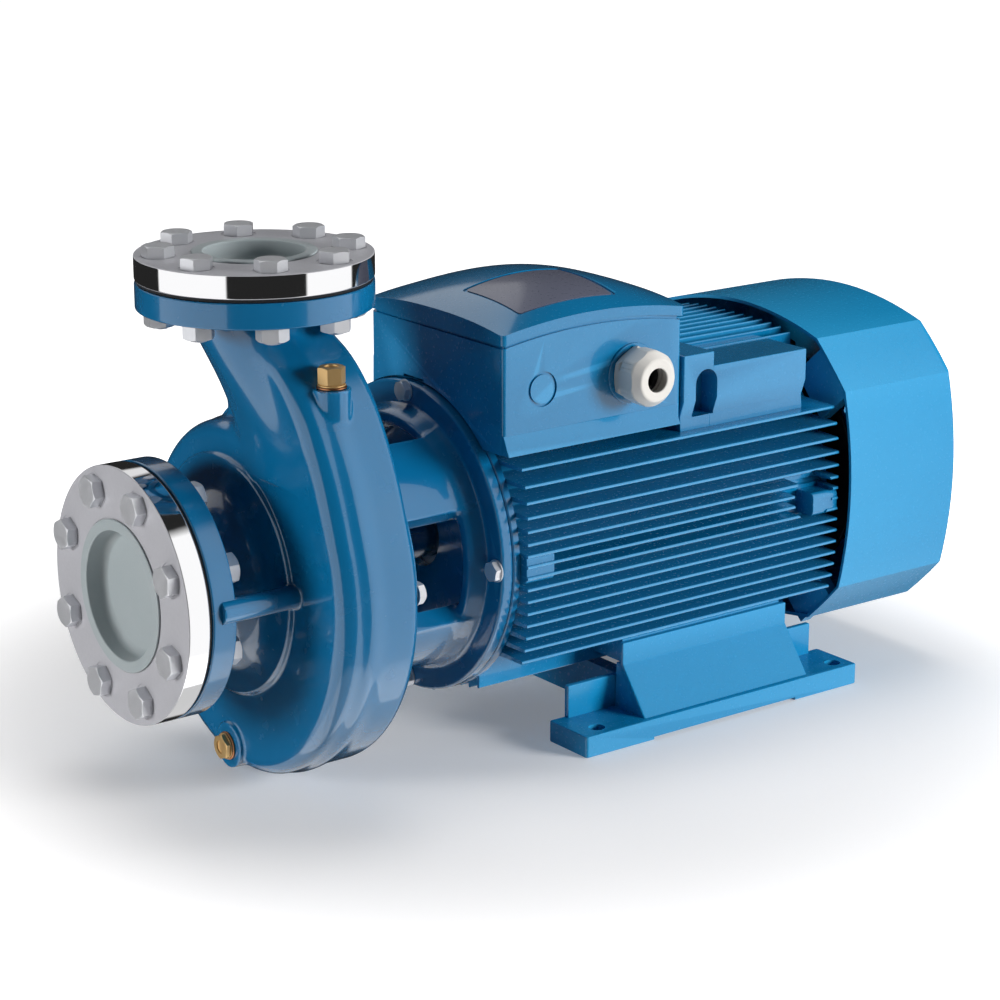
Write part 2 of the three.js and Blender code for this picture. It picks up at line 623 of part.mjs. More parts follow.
function fanCover() {
  const [from, to] = [FAN_COVER.front, FAN_COVER.back];
  const outer = prism(coverOutline(0), from - 40, to, FAN_COVER.edge);
  const inner = prism(coverOutline(FAN_COVER.sheet), from - 44, to - FAN_COVER.sheet, FAN_COVER.edge - 2);
  const slot = block([to - 10, to + 1], [-4, 4], [46, 98]);
  return cut(outer, [
    inner,
    block([from - 60, from], [-200, 200], [-200, 200]),
    ...ring(FAN_COVER.slots).map((angle) => turnedBy(slot, angle)),
  ]);
}

/** Height of the joint between box and lid: it arches along the box. */
function jointHeight(x) {
  const middle = (BOX.front + BOX.back) / 2;
  return BOX.rim + BOX.arch * (1 - ((x - middle) / (middle - BOX.front)) ** 2);
}

const BOX_STATIONS = [0, 0.17, 0.34, 0.5, 0.66, 0.83, 1];

/** A body through upright sections across the box; section(x) gives its corners as [y, z]. */
function boxSkin(inset, section) {
  const [from, to] = [BOX.front + inset, BOX.back - inset];
  return skin(BOX_STATIONS.map((part) => {
    const x = THREE.MathUtils.lerp(from, to, part);
    return section(x).map(([y, z]) => new THREE.Vector3(x, y, z));
  }));
}

/** The box between a level floor and the arched joint. */
function boxBody(inset, floor, above) {
  const [near, far] = [BOX.near + inset, BOX.far - inset];
  return boxSkin(inset, (x) => {
    const top = jointHeight(x) + above;
    return [[near, floor], [near, top], [far, top], [far, floor]];
  });
}

const BOARD_FLOOR = 26; // depth of metal under the terminal board

function terminalBox() {
  const entry = reseated(rod(GLAND.radius + 2, 0, 5, 20), X_TO_MINUS_Y);
  const hole = reseated(rod(16.6, -26, 14, 16), X_TO_MINUS_Y);
  const clearBarrel = moved(rod(MOTOR.barrel + 0.6, BOX.front - 1, BOX.back + 1, ROUND), 0, 0, SHAFT_HEIGHT);
  const skirtOutline = outline([
    [BOX.near + 2, 293],
    [BOX.near, 293],
    [BOX.near - 8, 279],
    [BOX.near + 2, 279],
  ]);
  const lugRoom = [BOX.bottom - 1, SHAFT_HEIGHT + TIE_LUG.topReach + 1];
  const skirt = prism(skirtOutline, MOTOR.front + 1, BOX.back - 6);
  const boardWell = block(
    [BOX.front + 50, BOX.back - BOX.wall],
    [BOX.near + 30, BOX.far - BOX.wall],
    [BOX.bottom + BOARD_FLOOR, BOX.rim],
  );
  const body = join([boxBody(0, BOX.bottom, 0), moved(entry, GLAND.x, BOX.near + 3, GLAND.z), skirt]);
  return cut(body, [
    boxBody(BOX.wall, BOX.bottom + 46, 3),
    boardWell,
    clearBarrel,
    moved(rod(LANTERN.ring + 1.5, BOX.front - 1, MOTOR.front + 0.5, ROUND), 0, 0, SHAFT_HEIGHT),
    block([BOX.front - 1, MOTOR.front + 32], [-15, 15], lugRoom),
    moved(hole, GLAND.x, BOX.near + 6, GLAND.z),
  ]);
}

/** Lid section: upright edges, then a dome that is highest in the middle of the box. */
function lidSection(x, inset) {
  const [near, far] = [BOX.near - 2 + inset, BOX.far + 2 - inset];
  const base = jointHeight(x);
  const crown = base + THREE.MathUtils.lerp(LID.end, LID.middle, (base - BOX.rim) / BOX.arch) - inset;
  const low = inset > 0 ? base - 4 : base + 0.3;
  const edge = base + LID.edge - inset;
  const dome = [0.12, 0.3, 0.5, 0.7, 0.88].map((part) => {
    const rise = 1 - Math.abs(2 * part - 1) ** 2.4;
    return [THREE.MathUtils.lerp(near, far, part), edge + (crown - edge) * rise];
  });
  return [[near, low], [near, edge], ...dome, [far, edge], [far, low]];
}

function terminalBoxLid() {
  const outer = boxSkin(-2, (x) => lidSection(x, 0));
  const inner = boxSkin(2, (x) => lidSection(x, 4));
  return cut(outer, [inner]);
}

function terminalBoard() {
  const studs = [-28, 0, 28].flatMap((x) => [-16, 16].map((y) => [x, y]));
  const base = block([-48, 48], [-32, 32], [0, 14]);
  return join([base, ...studs.map(([x, y]) => moved(reseated(rod(4, 13, 34, 8), X_TO_Z), x, y, 0))]);
}

const glandBody = () => join([rod(16, -16, 1, 16), hex(44, 0, 8), rod(17, 7, 20, 16)]);
const drilledGland = () => cut(glandBody(), [rod(13, -20, 30, 16)]);
function glandNut() {
  const { radius, hole } = GLAND;
  const profile = [
    [9, 17.6], [9, radius], [26, radius], [33, radius - 6], [33, hole], [21, hole + 4], [21, 17.6], [9, 17.6],
  ];
  return turned(profile, 16);
}

const glandSeal = () => tube(12.4, 8, 6, 19, 16);

// ---------------------------------------------------------------- foot
const WEB = { from: 298, to: 494, cheek: 7 }; // sloping web that carries the motor, closed at both ends

function motorFoot() {
  const { front, back, side, strip, thickness, relief } = FOOT;
  const wallFace = -side + strip;
  const plate = block([front, back], [-side, wallFace + 6], [0, thickness]);
  const wall = block([front + 17, FAN_COVER.front - 2], [wallFace, wallFace + 6], [thickness - 1, 50]);
  const webOutline = outline([[-125, 82], [-120, 82], [-120, 62], [-146, 19], [-157, 19], [-125, 62]]);
  const web = prism(webOutline, WEB.from, WEB.to);
  const cheek = prism(outline([[-121, 62], [-116, 62], [-114, 19], [-150, 19]]), 0, WEB.cheek);
  const cheeks = [WEB.from, WEB.to - WEB.cheek].map((x) => moved(cheek, x, 0, 0));
  const nearSide = cut(join([plate, wall, web, ...cheeks]), [
    block([front + 77, back - 77], [-side - 1, wallFace + 7], [-1, relief]),
    ...[FOOT_HOLES.front, FOOT_HOLES.back].map((x) =>
      moved(reseated(rod(FOOT_HOLES.radius, -1, thickness + 1), X_TO_Z), x, -FOOT_HOLES.side, 0)),
  ]);
  const cross = [320, 460].map((x) => block([x - 8, x + 8], [wallFace + 1, -wallFace - 1], [6, 44]));
  return join([nearSide, nearSide.mirror([0, 1, 0]), ...cross]);
}

// ---------------------------------------------------------------- assembly
const pump = new THREE.Group();
pump.position.set(-MIDDLE.x, -MIDDLE.y, 0);

const shaftLine = new THREE.Group();
shaftLine.position.z = SHAFT_HEIGHT;
pump.add(shaftLine);

const suction = connection("suction", SUCTION);
suction.position.x = -SUCTION_LENGTH;
const discharge = connection("discharge", DISCHARGE);
discharge.position.z = DISCHARGE_HEIGHT;
discharge.rotation.y = Math.PI / 2;
shaftLine.add(suction, discharge);

/** A plug and its sealing ring, as a group whose +X runs into the casing. */
function plugAssembly(label, head) {
  const group = new THREE.Group();
  group.add(
    mesh(label, plug(head), metal(BRASS, 0.35)),
    mesh(`${label}_washer`, plugWasher(), metal(0xa8683f, 0.4)),
  );
  return group;
}

const fillPlug = plugAssembly("fill_plug", PLUG_HEAD.fill);
fillPlug.position.set(FILL_BOSS.x, FILL_BOSS.y, FILL_BOSS.top);
fillPlug.rotation.y = Math.PI / 2;
const drainPlug = plugAssembly("drain_plug", PLUG_HEAD.drain);
drainPlug.position.set(DRAIN_BOSS.face, 0, DRAIN_BOSS.z);
shaftLine.add(fillPlug, drainPlug);

shaftLine.add(
  mesh("volute_casing", voluteCasing(), paint(BLUE)),
  mesh("casing_gasket", casingGasket(), plastic(0x1c1e20)),
  mesh("lantern_bracket", lantern(), paint(BLUE)),
  mesh("shaft", shaft(), metal(0xb8bcc0, 0.25)),
  mesh("impeller_key", impellerKey(), metal(STEEL, 0.4)),
  mesh("impeller", impeller(), metal(0x6c6a66, 0.6)),
  mesh("impeller_nut", impellerNut(), metal(ZINC, 0.3)),
  mesh("seal_rotating_ring", sealRotatingRing(), plastic(0x2a2a2c)),
  mesh("seal_stationary_ring", sealStationaryRing(), plastic(0xd8d4c8)),
  mesh("rotor_core", rotorCore(), metal(0x9a9c9e, 0.5)),
  mesh("cooling_fan", coolingFan(), plastic(0x24262a)),
  mesh("front_bearing", ballBearing(BEARINGS.front), metal(ZINC, 0.25)),
  mesh("rear_bearing", ballBearing(BEARINGS.rear), metal(ZINC, 0.25)),
  mesh("stator_core", statorCore(), metal(0x707274, 0.6)),
  mesh("stator_winding", statorWinding(), metal(0xb5652c, 0.4)),
  mesh("motor_housing", motorHousing(), paint(BLUE)),
  mesh("front_end_shield", frontEndShield(), paint(BLUE)),
  mesh("rear_end_shield", rearEndShield(), paint(BLUE)),
  mesh("fan_cover", fanCover(), paint(FAN_BLUE)),
);

/** A copy of a bolt on each spoke about the shaft. */
function boltRing(label, body, radius, angles) {
  angles.forEach((angle, i) => {
    const spoke = new THREE.Group();
    spoke.rotation.x = degrees(angle);
    const bolt = mesh(`${label}_${i + 1}`, body, metal(ZINC, 0.25));
    bolt.position.z = radius;
    spoke.add(bolt);
    shaftLine.add(spoke);
  });
}
boltRing("casing_bolt", casingBolt(), CASING_BOLT.circle, CASING_BOLT_ANGLES);
boltRing("tie_bolt", tieBolt(), TIE_BOLT.circle, TIE_ANGLES);

const board = mesh("terminal_board", terminalBoard(), plastic(0x3a2a20));
board.position.set((BOX.front + BOX.back) / 2, -40, BOX.bottom + BOARD_FLOOR + FIT);
pump.add(
  mesh("terminal_box", terminalBox(), paint(BLUE)),
  mesh("terminal_box_lid", terminalBoxLid(), paint(BLUE)),
  board,
  mesh("motor_foot", motorFoot(), paint(FAN_BLUE)),
);

const gland = new THREE.Group();
gland.position.set(GLAND.x, BOX.near - 2 - FIT, GLAND.z);
gland.rotation.z = -Math.PI / 2;
gland.add(
  mesh("cable_gland_body", drilledGland(), plastic(0xdedbd2)),
  mesh("cable_gland_nut", glandNut(), plastic(0xe6e3da)),
  mesh("cable_gland_seal", glandSeal(), plastic(0x151515)),
);
pump.add(gland);

export default pump;
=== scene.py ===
import math
import random
from collections import namedtuple

import bmesh
import bpy
import numpy as np
from mathutils import Matrix, Vector


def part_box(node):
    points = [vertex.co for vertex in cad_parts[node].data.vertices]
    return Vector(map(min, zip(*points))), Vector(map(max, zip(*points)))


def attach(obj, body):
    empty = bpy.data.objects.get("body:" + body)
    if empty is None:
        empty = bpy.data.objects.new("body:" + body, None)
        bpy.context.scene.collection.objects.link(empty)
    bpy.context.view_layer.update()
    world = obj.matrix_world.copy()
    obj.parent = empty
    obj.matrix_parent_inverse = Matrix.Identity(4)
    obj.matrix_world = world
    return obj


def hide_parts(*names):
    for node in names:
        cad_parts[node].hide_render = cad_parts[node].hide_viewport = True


# Looks of a close-coupled centrifugal water pump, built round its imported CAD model.
# Lengths are in millimetres until a mesh is made; +X runs along the shaft, +Z is up. Pieces are
# drawn from the floor point under the shaft and the discharge, and moved to the frame at the end.
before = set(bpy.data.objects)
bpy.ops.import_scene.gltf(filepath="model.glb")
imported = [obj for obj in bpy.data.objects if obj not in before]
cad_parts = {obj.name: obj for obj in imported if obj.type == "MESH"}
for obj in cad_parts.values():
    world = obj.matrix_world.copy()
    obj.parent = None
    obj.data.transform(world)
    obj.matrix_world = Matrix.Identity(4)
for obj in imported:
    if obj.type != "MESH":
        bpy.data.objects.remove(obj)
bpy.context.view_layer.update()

MM = 0.001
DISCHARGE_X = sum(corner.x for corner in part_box("discharge_cap")) / 2
SHAFT_Y = sum(corner.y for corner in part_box("shaft")) / 2
START = Vector((DISCHARGE_X, SHAFT_Y, 0)) / MM  # where the drawing's origin stands in the frame


def node_box(node):
    """Lowest and highest corner of a CAD node as drawn, in millimetres."""
    low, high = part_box(node)
    return low / MM - START, high / MM - START


def middle(node):
    low, high = node_box(node)
    return (low + high) / 2


# ------------------------------------------------------------------ places read from the frame
SHAFT = middle("shaft").z
ON_SHAFT = Matrix.Translation((0, 0, SHAFT))
AS_DRAWN = Matrix.Identity(4)
CASING_LOW, CASING_HIGH = node_box("volute_casing")
SUCTION_FACE = CASING_LOW.x
DISCHARGE_FACE = CASING_HIGH.z - SHAFT
COUNTER_LOW, COUNTER_HIGH = node_box("suction_counter_flange")
COUNTER_THICKNESS = COUNTER_HIGH.x - COUNTER_LOW.x
SPIGOT_FACE = node_box("lantern_bracket")[0].x
HOUSING_LOW, HOUSING_HIGH = node_box("motor_housing")
COVER_LOW, COVER_HIGH = node_box("fan_cover")
FOOT_LOW, FOOT_HIGH = node_box("motor_foot")
BOX_LOW, BOX_HIGH = node_box("terminal_box")
LID_TOP = node_box("terminal_box_lid")[1].z
GLAND = middle("cable_gland_nut")
FILL = middle("fill_plug")
DRAIN = middle("drain_plug")
FILL_SEAT = node_box("fill_plug_washer")[0].z - SHAFT - 0.2
DRAIN_SEAT = node_box("drain_plug_washer")[1].x + 0.2
FILL_POINT = Vector((FILL.x, FILL.y, FILL_SEAT + SHAFT))
DRAIN_POINT = Vector((DRAIN_SEAT, DRAIN.y, DRAIN.z))
SUCTION_BASE = Matrix.Translation((SUCTION_FACE, 0, SHAFT))
DOWNWARDS = Matrix.Rotation(math.radians(90), 4, "Y")
DISCHARGE_BASE = Matrix.Translation((0, 0, SHAFT + DISCHARGE_FACE)) @ DOWNWARDS

# ------------------------------------------------------------------ sizes
FLANGE = 22  # thickness of a casing flange
GASKET = 3
SUCTION = {"bore": 50, "pipe": 57.5, "radius": 110, "circle": 90}
DISCHARGE = {"bore": 40, "pipe": 45, "radius": 100, "circle": 80}
FLANGE_BOLT = {"flats": 24, "head": 10, "shank": 8, "nut": 13, "past_nut": 15, "hole": 9}
RECESS = 0.6  # depth of the seats under bolt heads and cap rims
HEAD_SPOT = 15
SCROLL = {"front": -35, "back": 42, "start": 131, "end": 177, "wall": 9}
PLATE_RADIUS = 150
PLATE_FACE = SPIGOT_FACE + 9
PLATE_BACK = PLATE_FACE + 15
SPIGOT = 117
RING = {"radius": 140, "front": 152, "back": 164}
CASING_BOLT = {"flats": 17, "head": 8, "shank": 5, "circle": 141}
TIE_BOLT = {"flats": 16, "head": 7, "shank": 5, "circle": 132}
BOLT_BORE = 5.6
PLUG_BORE = 8.4
PLUG_THREAD = (8, 1.34)  # radius, pitch
GLAND_THREAD = (16, 1.5)
KNOCKOUT = {"x": 202, "z": 331, "inner": 12.7, "outer": 15.4, "depth": 1.6}
BARREL = 125
FIN_ROOT = 2.5  # half the thickness of a cooling fin at the barrel
FIN_EDGE = 1.4
FIN_TIP = 150
HOUSING_TOP = 152
HOUSING_FLANK = -133
BOX_NEAR = -130
BOX_UNDER = BOX_LOW.z + 6
JOINT_END, JOINT_RISE = 374.0, 9.0
LID_OVERHANG = 2.0
LID_EDGE, LID_END, LID_MIDDLE = 9.0, 17.0, LID_TOP - JOINT_END - JOINT_RISE
LABEL = {"x": (190, 297), "y": (-112, -30), "depth": 1.4}
FOOT_WALL = -FOOT_HIGH.y + 48
WEB_FRONT, WEB_BACK = 298, 494
FINE, COARSE = 1.8, 3.6  # grids of the cast surfaces
THREAD_DEPTH = 0.54  # of the pitch


# ------------------------------------------------------------------ outlines
def polar(radius, degrees):
    """(y, z) at an angle from the top, turning towards +Y."""
    angle = math.radians(degrees)
    return radius * math.sin(angle), radius * math.cos(angle)


def ring_of(count, start=0.0):
    return [start + 360 * i / count for i in range(count)]


def rounded(corners, radius, steps=5):
    """A closed outline with its corners as arcs; radius is one number or one for each corner."""
    radii = radius if isinstance(radius, (list, tuple)) else [radius] * len(corners)
    straight = math.radians(88)
    result = []
    for i, corner in enumerate(corners):
        here = Vector(corner)
        back = Vector(corners[i - 1]) - here
        ahead = Vector(corners[(i + 1) % len(corners)]) - here
        half = back.angle(ahead) / 2
        if radii[i] <= 0 or half > straight:
            result.append(tuple(here))
            continue
        reach = min(radii[i] / math.tan(half), 0.49 * back.length, 0.49 * ahead.length)
        size = reach * math.tan(half)
        centre = here + (back.normalized() + ahead.normalized()).normalized() * size / math.sin(half)
        first = here + back.normalized() * reach - centre
        last = here + ahead.normalized() * reach - centre
        turn = first.angle(last)
        for step in range(steps + 1):
            part = step / steps
            arm = (math.sin((1 - part) * turn) * first + math.sin(part * turn) * last) / math.sin(turn)
            result.append(tuple(centre + arm))
    return result


def rectangle(low_a, high_a, low_b, high_b):
    return [(low_a, low_b), (high_a, low_b), (high_a, high_b), (low_a, high_b)]


def band(start, end, inner, outer):
    """Section of a plain ring: two places along X, two radii."""
    return [(start, inner), (start, outer), (end, outer), (end, inner)]


def curve(start, control, end, steps):
    """Points of a quadratic curve, without its last one."""
    return [tuple((1 - t) ** 2 * Vector(start) + 2 * t * (1 - t) * Vector(control) + t * t * Vector(end))
            for t in (i / steps for i in range(steps))]


# ------------------------------------------------------------------ places
def towards(point, direction, turn=0):
    """Place whose +X runs along direction, turned about it by some degrees."""
    aim = Vector((1, 0, 0)).rotation_difference(Vector(direction)).to_matrix().to_4x4()
    return Matrix.Translation(point) @ aim @ Matrix.Rotation(math.radians(turn), 4, "X")


def rolled(degrees, base=ON_SHAFT):
    """Place turned about the axis of base; its top moves towards -Y."""
    return base @ Matrix.Rotation(math.radians(degrees), 4, "X")


def spoke(angle, radius, base=ON_SHAFT):
    """Place of something that stands at the given radius and angle about the axis of base."""
    return rolled(-angle, base) @ Matrix.Translation((0, 0, radius))


# ------------------------------------------------------------------ meshes
def build(name, vertices, faces, place=AS_DRAWN):
    """A mesh object from millimetre vertices, moved by place, with its faces turned outwards."""
    mesh = bpy.data.meshes.new(name)
    mesh.from_pydata([place @ Vector(vertex) * MM for vertex in vertices], [], faces)
    shell = bmesh.new()
    shell.from_mesh(mesh)
    bmesh.ops.remove_doubles(shell, verts=shell.verts, dist=MM * 1e-3)
    bmesh.ops.recalc_face_normals(shell, faces=shell.faces)
    shell.to_mesh(mesh)
    shell.free()
    piece = bpy.data.objects.new(name, mesh)
    bpy.context.scene.collection.objects.link(piece)
    return piece


def revolved(profile, place=ON_SHAFT, segments=96):
    """A closed (x, radius) profile turned about X."""
    vertices, rings = [], []
    for x, radius in profile:
        if radius < 1e-6:
            rings.append([len(vertices)])
            vertices.append((x, 0, 0))
            continue
        rings.append(list(range(len(vertices), len(vertices) + segments)))
        vertices += [(x, *polar(radius, angle)) for angle in ring_of(segments)]
    faces = []
    for ring, following in zip(rings, rings[1:] + rings[:1]):
        if len(ring) == len(following) == 1:
            continue
        for i in range(segments):
            j = (i + 1) % segments
            corners = [ring[i % len(ring)], ring[j % len(ring)],
                       following[j % len(following)], following[i % len(following)]]
            faces.append(list(dict.fromkeys(corners)))
    return build("turned", vertices, faces, place)


def ring(start, end, inner, outer, radius, steps, place=ON_SHAFT, segments=96):
    """A plain ring with rounded edges."""
    return revolved(rounded(band(start, end, inner, outer), radius, steps), place, segments)


def rod(radius, start, end, place=ON_SHAFT, segments=48):
    return revolved(band(start, end, 0, radius), place, segments)


def rods(radius, start, end, circle, angles=ring_of(4), base=ON_SHAFT):
    """Rods on a circle about the axis of base."""
    return [rod(radius, start, end, spoke(angle, circle, base)) for angle in angles]


def lofted(rings, place=AS_DRAWN):
    """A closed skin through rings of equal length, with flat ends."""
    count = len(rings[0])
    faces = [list(range(count)), [len(rings) * count - 1 - i for i in range(count)]]
    for row in range(len(rings) - 1):
        for i in range(count):
            a, b = row * count + i, row * count + (i + 1) % count
            faces.append([a, b, b + count, a + count])
    return build("lofted", [point for ring_points in rings for point in ring_points], faces, place)


def prism(outline, start, end, axis="x", place=AS_DRAWN):
    """A closed outline pushed along an axis; the outline is in the other two axes, in order."""
    def at(along, first, second):
        return {"x": (along, first, second), "y": (first, along, second), "z": (first, second, along)}[axis]

    return lofted([[at(along, *point) for point in outline] for along in (start, end)], place)


def applied(piece):
    """Replaces the piece's mesh with the one its modifiers give."""
    graph = bpy.context.evaluated_depsgraph_get()
    mesh = bpy.data.meshes.new_from_object(piece.evaluated_get(graph))
    piece.modifiers.clear()
    piece.data = mesh
    return piece


def combined(piece, others, operation):
    for other in others:
        modifier = piece.modifiers.new(operation, "BOOLEAN")
        modifier.solver = "MANIFOLD"
        modifier.operation = operation
        modifier.object = other
    applied(piece)
    for other in others:
        bpy.data.objects.remove(other)
    return piece


def joined(piece, *others):
    return combined(piece, others, "UNION")


def cut(piece, *others):
    return combined(piece, others, "DIFFERENCE")


def kept_inside(piece, *others):
    return combined(piece, others, "INTERSECT")


def bevelled(piece, width, angle=35, segments=2):
    merged(piece)
    modifier = piece.modifiers.new("bevel", "BEVEL")
    modifier.width = width * MM
    modifier.segments = segments
    modifier.limit_method = "ANGLE"
    modifier.angle_limit = math.radians(angle)
    modifier.use_clamp_overlap = True
    return applied(piece)


def merged(piece):
    """Runs faces of one plane together, so that they shade flat."""
    one_plane = math.radians(0.05)
    shell = bmesh.new()
    shell.from_mesh(piece.data)
    bmesh.ops.dissolve_limit(shell, angle_limit=one_plane, verts=shell.verts, edges=shell.edges)
    shell.to_mesh(piece.data)
    shell.free()


def finished(piece, node, body, look, sharp=38, second=None):
    """Shades and colours a piece and seats it on its body, in place of its CAD node if it has one."""
    merged(piece)
    piece.data.transform(Matrix.Translation(START * MM))
    piece.data.materials.clear()
    for each in (look, second):
        if each:
            piece.data.materials.append(each.material)
    piece.data.polygons.foreach_set("material_index", [0] * len(piece.data.polygons))
    piece.data.shade_smooth()
    piece.data.set_sharp_from_angle(angle=math.radians(sharp))
    flatter = piece.modifiers.new("flat faces stay flat", "WEIGHTED_NORMAL")
    flatter.keep_sharp = True
    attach(piece, body)
    if node:
        piece.name = f"{node}_fine"
        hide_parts(node)
    return piece


# ------------------------------------------------------------------ smooth cast surfaces
def melt(a, b, size):
    """Union of two distance fields with a fillet of about the given size."""
    share = np.maximum(size - np.abs(a - b), 0) / size
    return np.minimum(a, b) - share ** 3 * size / 6


def slab(flat, x, start, end, edge):
    """An outline field pushed along X between start and end, with edges rounded by edge."""
    across = np.abs(x - (start + end) / 2) - (end - start) / 2 + edge
    outward = flat + edge
    outside = np.hypot(np.maximum(across, 0), np.maximum(outward, 0))
    return outside + np.minimum(np.maximum(across, outward), 0) - edge


def half_plane(y, z, first, second):
    """Signed distance to the line through two points; the left side is inside."""
    along = Vector(second) - Vector(first)
    along.normalize()
    return (y - first[0]) * along.y - (z - first[1]) * along.x


CELL_CORNERS = [(i, j, k) for i in (0, 1) for j in (0, 1) for k in (0, 1)]
CELL_EDGES = [(a, b) for a in CELL_CORNERS for b in CELL_CORNERS if sum(b) == sum(a) + 1
              and all(q >= p for p, q in zip(a, b))]


def cast(field, low, high, place=ON_SHAFT):
    """The surface where field(x, y, z) is zero, as a closed mesh on a grid; negative is inside."""
    step = FINE
    axes = [np.arange(a - 2 * step, b + 3 * step, step) for a, b in zip(low, high)]
    values = field(*np.meshgrid(*axes, indexing="ij", sparse=True)).astype(np.float32)
    inside = values < 0
    x_cells, y_cells, z_cells = (size - 1 for size in inside.shape)
    count = sum(inside[i:x_cells + i, j:y_cells + j, k:z_cells + k].astype(np.int8)
                for i, j, k in CELL_CORNERS)
    cells = np.argwhere((count > 0) & (count < 8))
    total, hits = np.zeros((len(cells), 3)), np.zeros(len(cells))
    for first, second in CELL_EDGES:
        a, b = (values[tuple((cells + corner).T)] for corner in (first, second))
        crossed = (a < 0) != (b < 0)
        share = np.where(crossed, a / np.where(crossed, a - b, 1), 0)
        point = np.array(first) + share[:, None] * (np.array(second) - np.array(first))
        total += point * crossed[:, None]
        hits += crossed
    points = np.array([axis[0] for axis in axes]) + (cells + total / hits[:, None]) * step
    points = settled(points, field, step)
    number = np.full(count.shape, -1, np.int32)
    number[tuple(cells.T)] = np.arange(len(cells))
    faces = []
    for axis in range(3):
        ahead, behind = [slice(None)] * 3, [slice(None)] * 3
        ahead[axis], behind[axis] = slice(1, None), slice(None, -1)
        edges = np.argwhere(inside[tuple(ahead)] != inside[tuple(behind)])
        u, v = (np.eye(3, dtype=int)[(axis + n) % 3] for n in (1, 2))
        faces.append(np.stack([number[tuple((edges - shift).T)] for shift in (u + v, v, 0 * u, u)], axis=1))
    return build("cast", points.tolist(), np.concatenate(faces).tolist(), place)


def settled(points, field, step):
    """Moves points onto the field's surface, by no more than the grid allows."""
    nudge = 0.05 * step
    for _ in range(2):
        value = field(*points.T)
        rise = [field(*(points + nudge * side).T) - field(*(points - nudge * side).T) for side in np.eye(3)]
        slope = np.stack(rise, axis=1) / (2 * nudge)
        shift = -value[:, None] * slope / np.maximum((slope ** 2).sum(1), 0.2)[:, None]
        size = np.linalg.norm(shift, axis=1, keepdims=True)
        points = points + shift * np.minimum(1, 0.5 * step / np.maximum(size, 1e-9))
    return points


# ------------------------------------------------------------------ materials
class Graph:
    """Short ways to add nodes to a material's or the world's node tree."""

    def __init__(self, tree):
        self.nodes, self.link = tree.nodes, tree.links.new

    def add(self, kind, *inputs, **settings):
        """A new node with its first inputs given as outputs to link or as plain values."""
        node = self.nodes.new("ShaderNode" + kind)
        for name, value in settings.items():
            setattr(node, name, value)
        for socket, value in zip(node.inputs, inputs):
            self.feed(socket, value)
        return node

    def feed(self, socket, value):
        if isinstance(value, bpy.types.NodeSocket):
            self.link(value, socket)
        elif value is not None:
            socket.default_value = (*value, 1) if socket.type == "RGBA" else value

    def spread(self, value, low_in, high_in, low=0.0, high=1.0, **settings):
        """Maps low_in to high_in onto low to high, and holds it there outside."""
        return self.add("MapRange", value, low_in, high_in, low, high, **settings).outputs["Result"]

    def noise(self, scale, detail=3, stretch=(1, 1, 1)):
        """Noise over the object's own space; scale is features per metre."""
        where = self.add("TexCoord").outputs["Object"]
        mapping = self.add("Mapping", where)
        mapping.inputs["Scale"].default_value = stretch
        texture = self.add("TexNoise", mapping.outputs["Vector"])
        texture.inputs["Scale"].default_value = scale
        texture.inputs["Detail"].default_value = detail
        return texture.outputs["Fac"]

    def mixed(self, factor, first, second):
        node = self.add("Mix", data_type="RGBA")
        self.link(factor, node.inputs["Factor"])
        colours = [socket for socket in node.inputs if socket.type == "RGBA"]
        for socket, value in zip(colours, (first, second)):
            self.feed(socket, value)
        return [socket for socket in node.outputs if socket.type == "RGBA"][0]

    def maths(self, operation, first, second):
        return self.add("Math", first, second, operation=operation).outputs["Value"]

    def bump(self, bsdf, height, strength):
        node = self.add("Bump")
        node.inputs["Strength"].default_value = strength
        node.inputs["Distance"].default_value = 0.0004
        self.link(height, node.inputs["Height"])
        self.link(node.outputs["Normal"], bsdf.inputs["Normal"])


Look = namedtuple("Look", "slot material")


def shader(name):
    material = bpy.data.materials.new(name)
    material.use_nodes = True
    return material, Graph(material.node_tree), material.node_tree.nodes["Principled BSDF"]


def surface(name, color, roughness, metallic, tint, grain, relief, coat=0.0, edge=None, stretch=(1, 1, 1),
            slot=None):
    """A surface with mottled colour, uneven gloss and a fine relief."""
    material, graph, bsdf = shader(name)
    darker = tuple(c * (1 - tint) for c in color)
    lighter = tuple(min(1, c * (1 + tint)) for c in color)
    shade = graph.mixed(graph.noise(14, 4), darker, lighter)
    # Painted highlight: convex edges, found by their pointiness, take the paler edge colour.
    if edge:
        painted_edge_highlight = graph.spread(graph.add("NewGeometry").outputs["Pointiness"], 0.52, 0.60)
        shade = graph.mixed(painted_edge_highlight, shade, edge)
    graph.link(shade, bsdf.inputs["Base Color"])
    fine = graph.noise(grain, 4, stretch)
    graph.link(graph.spread(fine, 0.3, 0.7, roughness * 0.85, roughness * 1.2), bsdf.inputs["Roughness"])
    if relief:
        graph.bump(bsdf, fine, relief)
    bsdf.inputs["Metallic"].default_value = metallic
    bsdf.inputs["Coat Weight"].default_value = coat
    bsdf.inputs["Coat Roughness"].default_value = 0.03
    return Look(slot or name, material)


def enamel(name, color, edge, relief, grain, gloss, slot=None):
    """Glossy paint over metal: a little orange peel, with a painted highlight that makes the outer edges
    paler.
    """
    return surface(name, color, 0.24, 0.0, 0.06, grain, relief, gloss, edge, slot=slot)
